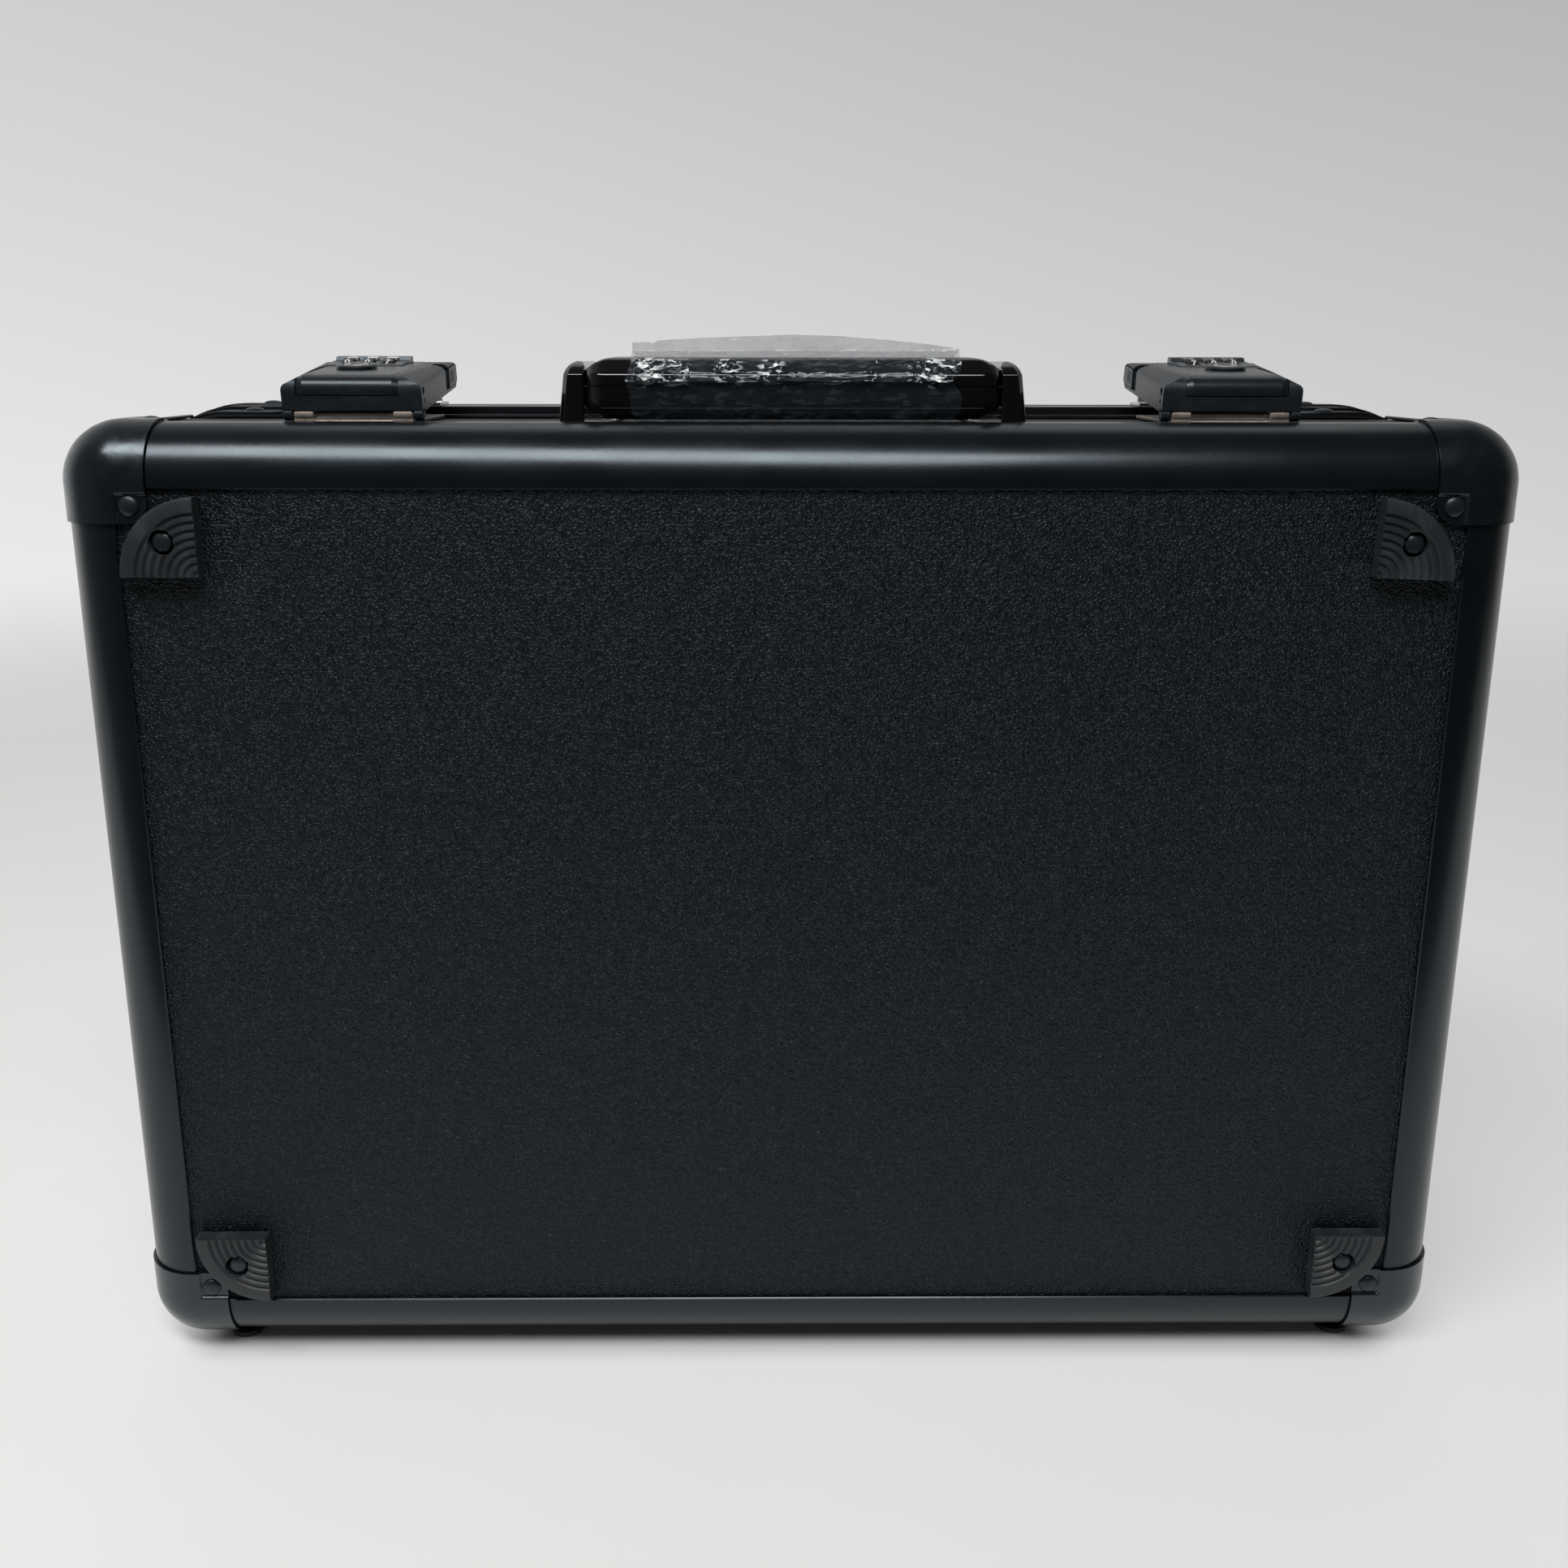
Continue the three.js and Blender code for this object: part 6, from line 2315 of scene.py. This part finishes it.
@dataclass
class FoamInsert:
    """The foam that fills the base, with three wells for rows of slabs."""

    inset: float = 8.2
    corner: float = 24.0
    foot_inset: float = 20.6
    foot_corner: float = 10.0
    step_depth: float = 13.5
    start_depth: float = 5.6
    top_depth: float = 81.3
    floor: float = 3.0
    well: Point = (400.0, 84.0)
    pitch: float = 92.0
    voxel: float = 2.6
    waviness: float = 0.45

    def layer(self, inset: float, corner: float, low: float, high: float) -> Draft:
        """A rounded slab of the foam between two depths of the base.

        Args:
            inset: how far its edges are from the case's outside.
            corner: the radius of its corners.
            low: the depth where it starts.
            high: the depth where it ends.

        Returns:
            The drawn slab.
        """
        half_x, half_z = HALF_WIDTH - inset, HALF_HEIGHT - inset
        outline: list[Point] = []
        for quarter, (side_x, side_z) in enumerate(QUARTERS):
            centre = (side_x * (half_x - corner), MID_Z + side_z * (half_z - corner))
            outline += arc(centre, corner, quarter * 90, quarter * 90 + 90, 8)
        draft = Draft()
        draft.prism(outline, (low, high), lambda x, z, depth: Vector((x, BASE.y(depth), z)))
        return draft

    def build(self) -> None:
        """Makes the foam, soft at its cut edges."""
        upper = self.layer(self.inset, self.corner, self.step_depth, self.top_depth)
        made = upper.to_object("foam_insert")
        lower = self.layer(self.foot_inset, self.foot_corner, self.start_depth, self.step_depth + 1)
        carved(made, lower, Cut.JOINED)
        half_x, half_z = self.well[0] / 2, self.well[1] / 2
        for row in (-1, 0, 1):
            z = MID_Z + row * self.pitch
            room = Draft()
            room.block(
                (-half_x, BASE.y(self.start_depth + self.floor), z - half_z),
                (half_x, BASE.y(self.top_depth + 5), z + half_z),
            )
            carved(made, room)
        modified(made, "REMESH", mode="VOXEL", voxel_size=self.voxel * MM)
        modified(made, "SMOOTH", factor=0.5, iterations=3)
        baked(made)
        shift = self.waviness * MM
        normals = [Vector(normal.vector) for normal in made.data.vertex_normals]
        for vert, normal in zip(made.data.vertices, normals):
            spot = vert.co / MM
            vert.co += normal * (noise.noise(spot * 0.045) * shift - shift * 0.5)
        placed(made, FOAM, "base", ["slab_foam_insert"], 70)


@dataclass
class LidPad:
    """The thin foam pad in the lid, pillowed at its edge."""

    inset: float = 20.9
    corner: float = 10.0
    start_depth: float = 5.6
    thick: float = 3.5
    edge: float = 5.0
    edge_share: float = 0.35
    waviness: float = 0.25
    cell: float = 3.2

    def build(self) -> None:
        """Makes the pad as a grid that thins towards its edge."""
        half_x, half_z = HALF_WIDTH - self.inset, HALF_HEIGHT - self.inset
        across, up = round(2 * half_x / self.cell), round(2 * half_z / self.cell)
        draft = Draft()
        for front in (True, False):
            rings = []
            for i in range(across + 1):
                x = -half_x + 2 * half_x * i / across
                ring = []
                for j in range(up + 1):
                    z = -half_z + 2 * half_z * j / up
                    ring.append(self.spot(x, z, half_x, half_z, front))
                rings.append(draft.ring(ring))
            draft.skin(rings, around=False)
        bmesh.ops.remove_doubles(draft.mesh, verts=draft.mesh.verts, dist=0.02)
        pad = draft.to_object("lid_pad")
        placed(pad, FOAM, "lid", ["lid_foam_pad"], 70)

    def spot(self, x: float, z: float, half_x: float, half_z: float, front: bool) -> Vector:
        """One point of the pad.

        Args:
            x: its place across.
            z: its place in height, from the pad's middle.
            half_x: half the pad's width.
            half_z: half its height.
            front: whether it is on the pad's open face.

        Returns:
            The point in space.
        """
        over_x = abs(x) - (half_x - self.corner)
        over_z = abs(z) - (half_z - self.corner)
        if over_x > 0 and over_z > 0:
            reach = math.hypot(over_x, over_z)
            pull = self.corner / max(reach, self.corner)
            x -= math.copysign(over_x * (1 - pull), x)
            z -= math.copysign(over_z * (1 - pull), z)
            over_x, over_z = over_x * pull, over_z * pull
            left = self.corner - math.hypot(over_x, over_z)
        else:
            left = min(half_x - abs(x), half_z - abs(z))
        share = min(left / self.edge, 1.0)
        rise = math.sqrt(max(1 - (1 - share) ** 2, 0.0))
        depth = self.start_depth
        if front:
            soft = self.waviness * noise.noise(Vector((x * 0.04, z * 0.04, 3.0)))
            thick = self.thick * (self.edge_share + (1 - self.edge_share) * rise)
            depth += thick * min(share * 40, 1.0) + soft * rise - self.waviness * rise
        return Vector((x, LID.y(depth), MID_Z + z))


# Studio


@dataclass
class Softbox:
    """A rectangular area light, from its two ends, that faces the case."""

    name: str
    ends: tuple[Point3, Point3]
    target: Point3
    width: float
    radiance: float
    colour: Colour = (1.0, 1.0, 1.0)

    def build(self) -> None:
        """Adds the light; places are in metres."""
        first, last = (Vector(end) for end in self.ends)
        middle = (first + last) / 2
        across = (last - first).normalized()
        away = middle - Vector(self.target)
        away = (away - across * away.dot(across)).normalized()
        data = bpy.data.lights.new(self.name, "AREA")
        data.shape = "RECTANGLE"
        data.size, data.size_y = (last - first).length, self.width
        data.energy = math.pi * data.size * data.size_y * self.radiance
        data.color = self.colour
        lamp = bpy.data.objects.new(self.name, data)
        bpy.context.scene.collection.objects.link(lamp)
        turn = Matrix((across, away.cross(across), away)).transposed().to_4x4()
        lamp.matrix_world = Matrix.Translation(middle) @ turn


@dataclass
class Studio:
    """The pale floor, the pale surroundings, the lights and the camera."""

    floor_radius: float = 2.6
    floor_fade: tuple[float, float] = (0.9, 2.4)
    floor_front: tuple[float, float] = (-0.42, -0.26)
    floor_grey: float = 0.55
    floor_glow: float = 0.385
    # The half sizes of the painted contact shadow under the case, and how far it fades out
    shadow_half: tuple[float, float] = (0.200, 0.062)
    shadow_reach: float = 0.020
    sky_level: float = 0.67
    sky_fall: Colour = (-0.18, 0.0, -0.65)
    sky_dark: float = 0.02
    sky_left: float = 0.15
    sky_turn: tuple[float, float] = (-0.1, 0.5)
    focal_pixels: float = 1935.0
    camera_place: Point3 = (-0.0069, -0.55645, 0.3388)
    pitch_down: float = 15.2
    yaw_right: float = 0.48
    roll: float = 0.08
    lights: list[Softbox] = field(
        default_factory=lambda: [
            Softbox("key", ((-0.75, -0.50, 1.44), (0.25, -0.90, 1.18)), (0, -0.05, 0.30), 0.40, 12.0),
            Softbox("rear", ((-0.6, 0.9, 1.5), (0.8, 0.9, 1.5)), (0, 0, 0.2), 0.7, 0.5),
        ]
    )

    def build(self) -> None:
        """Sets up everything that isn't the case."""
        self.add_camera()
        self.add_floor()
        self.add_surroundings()
        for light in self.lights:
            light.build()
        bpy.context.scene.view_settings.view_transform = "Standard"

    def add_camera(self) -> None:
        """Places the camera as the photograph's was."""
        data = bpy.data.cameras.new("photo_camera")
        data.sensor_fit = "HORIZONTAL"
        data.sensor_width = 36.0
        data.lens = data.sensor_width * self.focal_pixels / PHOTO_SIDE
        data.clip_start = 0.01
        camera = bpy.data.objects.new("photo_camera", data)
        bpy.context.scene.collection.objects.link(camera)
        level = Matrix.Rotation(math.radians(90 - self.pitch_down), 4, "X")
        turn = Matrix.Rotation(math.radians(-self.yaw_right), 4, "Z")
        roll = Matrix.Rotation(math.radians(self.roll), 4, "Z")
        camera.matrix_world = Matrix.Translation(self.camera_place) @ turn @ level @ roll
        bpy.context.scene.camera = camera

    def add_floor(self) -> None:
        """Adds the floor, which fades into the surroundings far from the case, and whose glow is taken
        out under the case as a painted contact shadow.
        """
        mesh = bpy.data.meshes.new("studio_floor")
        draft = bmesh.new()
        bmesh.ops.create_circle(draft, cap_ends=True, segments=96, radius=self.floor_radius)
        draft.to_mesh(mesh)
        draft.free()
        floor = bpy.data.objects.new("studio_floor", mesh)
        bpy.context.scene.collection.objects.link(floor)
        graph = Graph("studio_floor")
        reach = graph.node(
            "ShaderNodeVectorMath", {"operation": "LENGTH"}, {0: graph.place}, output="Value"
        )
        near, far = (edge / MM for edge in self.floor_fade)
        front = (edge / MM for edge in self.floor_front)
        shade = graph.noise(90, 3)
        light, dark = (self.floor_grey * share for share in (1.03, 0.97))
        # Painted contact shadow: the floor's glow is dark over the case's footprint and comes back over
        # shadow_reach
        beyond = [
            (graph.along(axis).size() - half / MM).largest(0.0)
            for axis, half in zip("XY", self.shadow_half)
        ]
        gap = (beyond[0] ** 2 + beyond[1] ** 2) ** 0.5
        unshadowed_floor = gap.ramped(0.0, self.shadow_reach / MM)
        graph.set(
            Base_Color=shade.between((dark, dark, 0.98 * dark), (light, light, 0.98 * light)),
            Roughness=0.6,
            Emission_Color=unshadowed_floor.between((0.02, 0.019, 0.018), (0.99, 1.0, 0.98)),
            Emission_Strength=self.floor_glow,
            Alpha=reach.ramped(far, near) * graph.along("Y").ramped(*front),
        )
        mesh.materials.append(graph.material)

    def add_surroundings(self) -> None:
        """Fills the world: pale all round as seen, but dark towards the viewer in the light."""
        world = bpy.data.worlds.new("studio")
        bpy.context.scene.world = world
        sky = SkyGraph(world)
        pale = sky.along("X") * self.sky_fall[0] + sky.along("Z") * self.sky_fall[2]
        pale = (pale + self.sky_level).largest(0.0)
        left = (sky.along("X") * -1.0).largest(0.0) ** 2 * self.sky_left
        lit = pale * sky.along("Y").ramped(*self.sky_turn) + left + self.sky_dark
        seen = sky.node("ShaderNodeLightPath", output="Is Camera Ray")
        sky.set(Color=seen.between(lit, pale))


def main() -> None:
    """Builds the studio and the case."""
    logging.basicConfig(level=logging.INFO, format="%(name)s: %(message)s")
    Studio().build()
    dress_sheets()
    assemblies = (
        EdgeExtrusions(), CornerCaps(), OpeningFrames(), PanelFeet(), StandFeet(),
        ContinuousHinge(), FoamInsert(), LidPad(), Handle(), FilmSleeve(),
        Latch("left", 1, (0, 0, 7)), Latch("right", -1, (7, 0, 0)),
    )
    for assembly in assemblies:
        assembly.build()


if __name__ == "__main__":
    main()
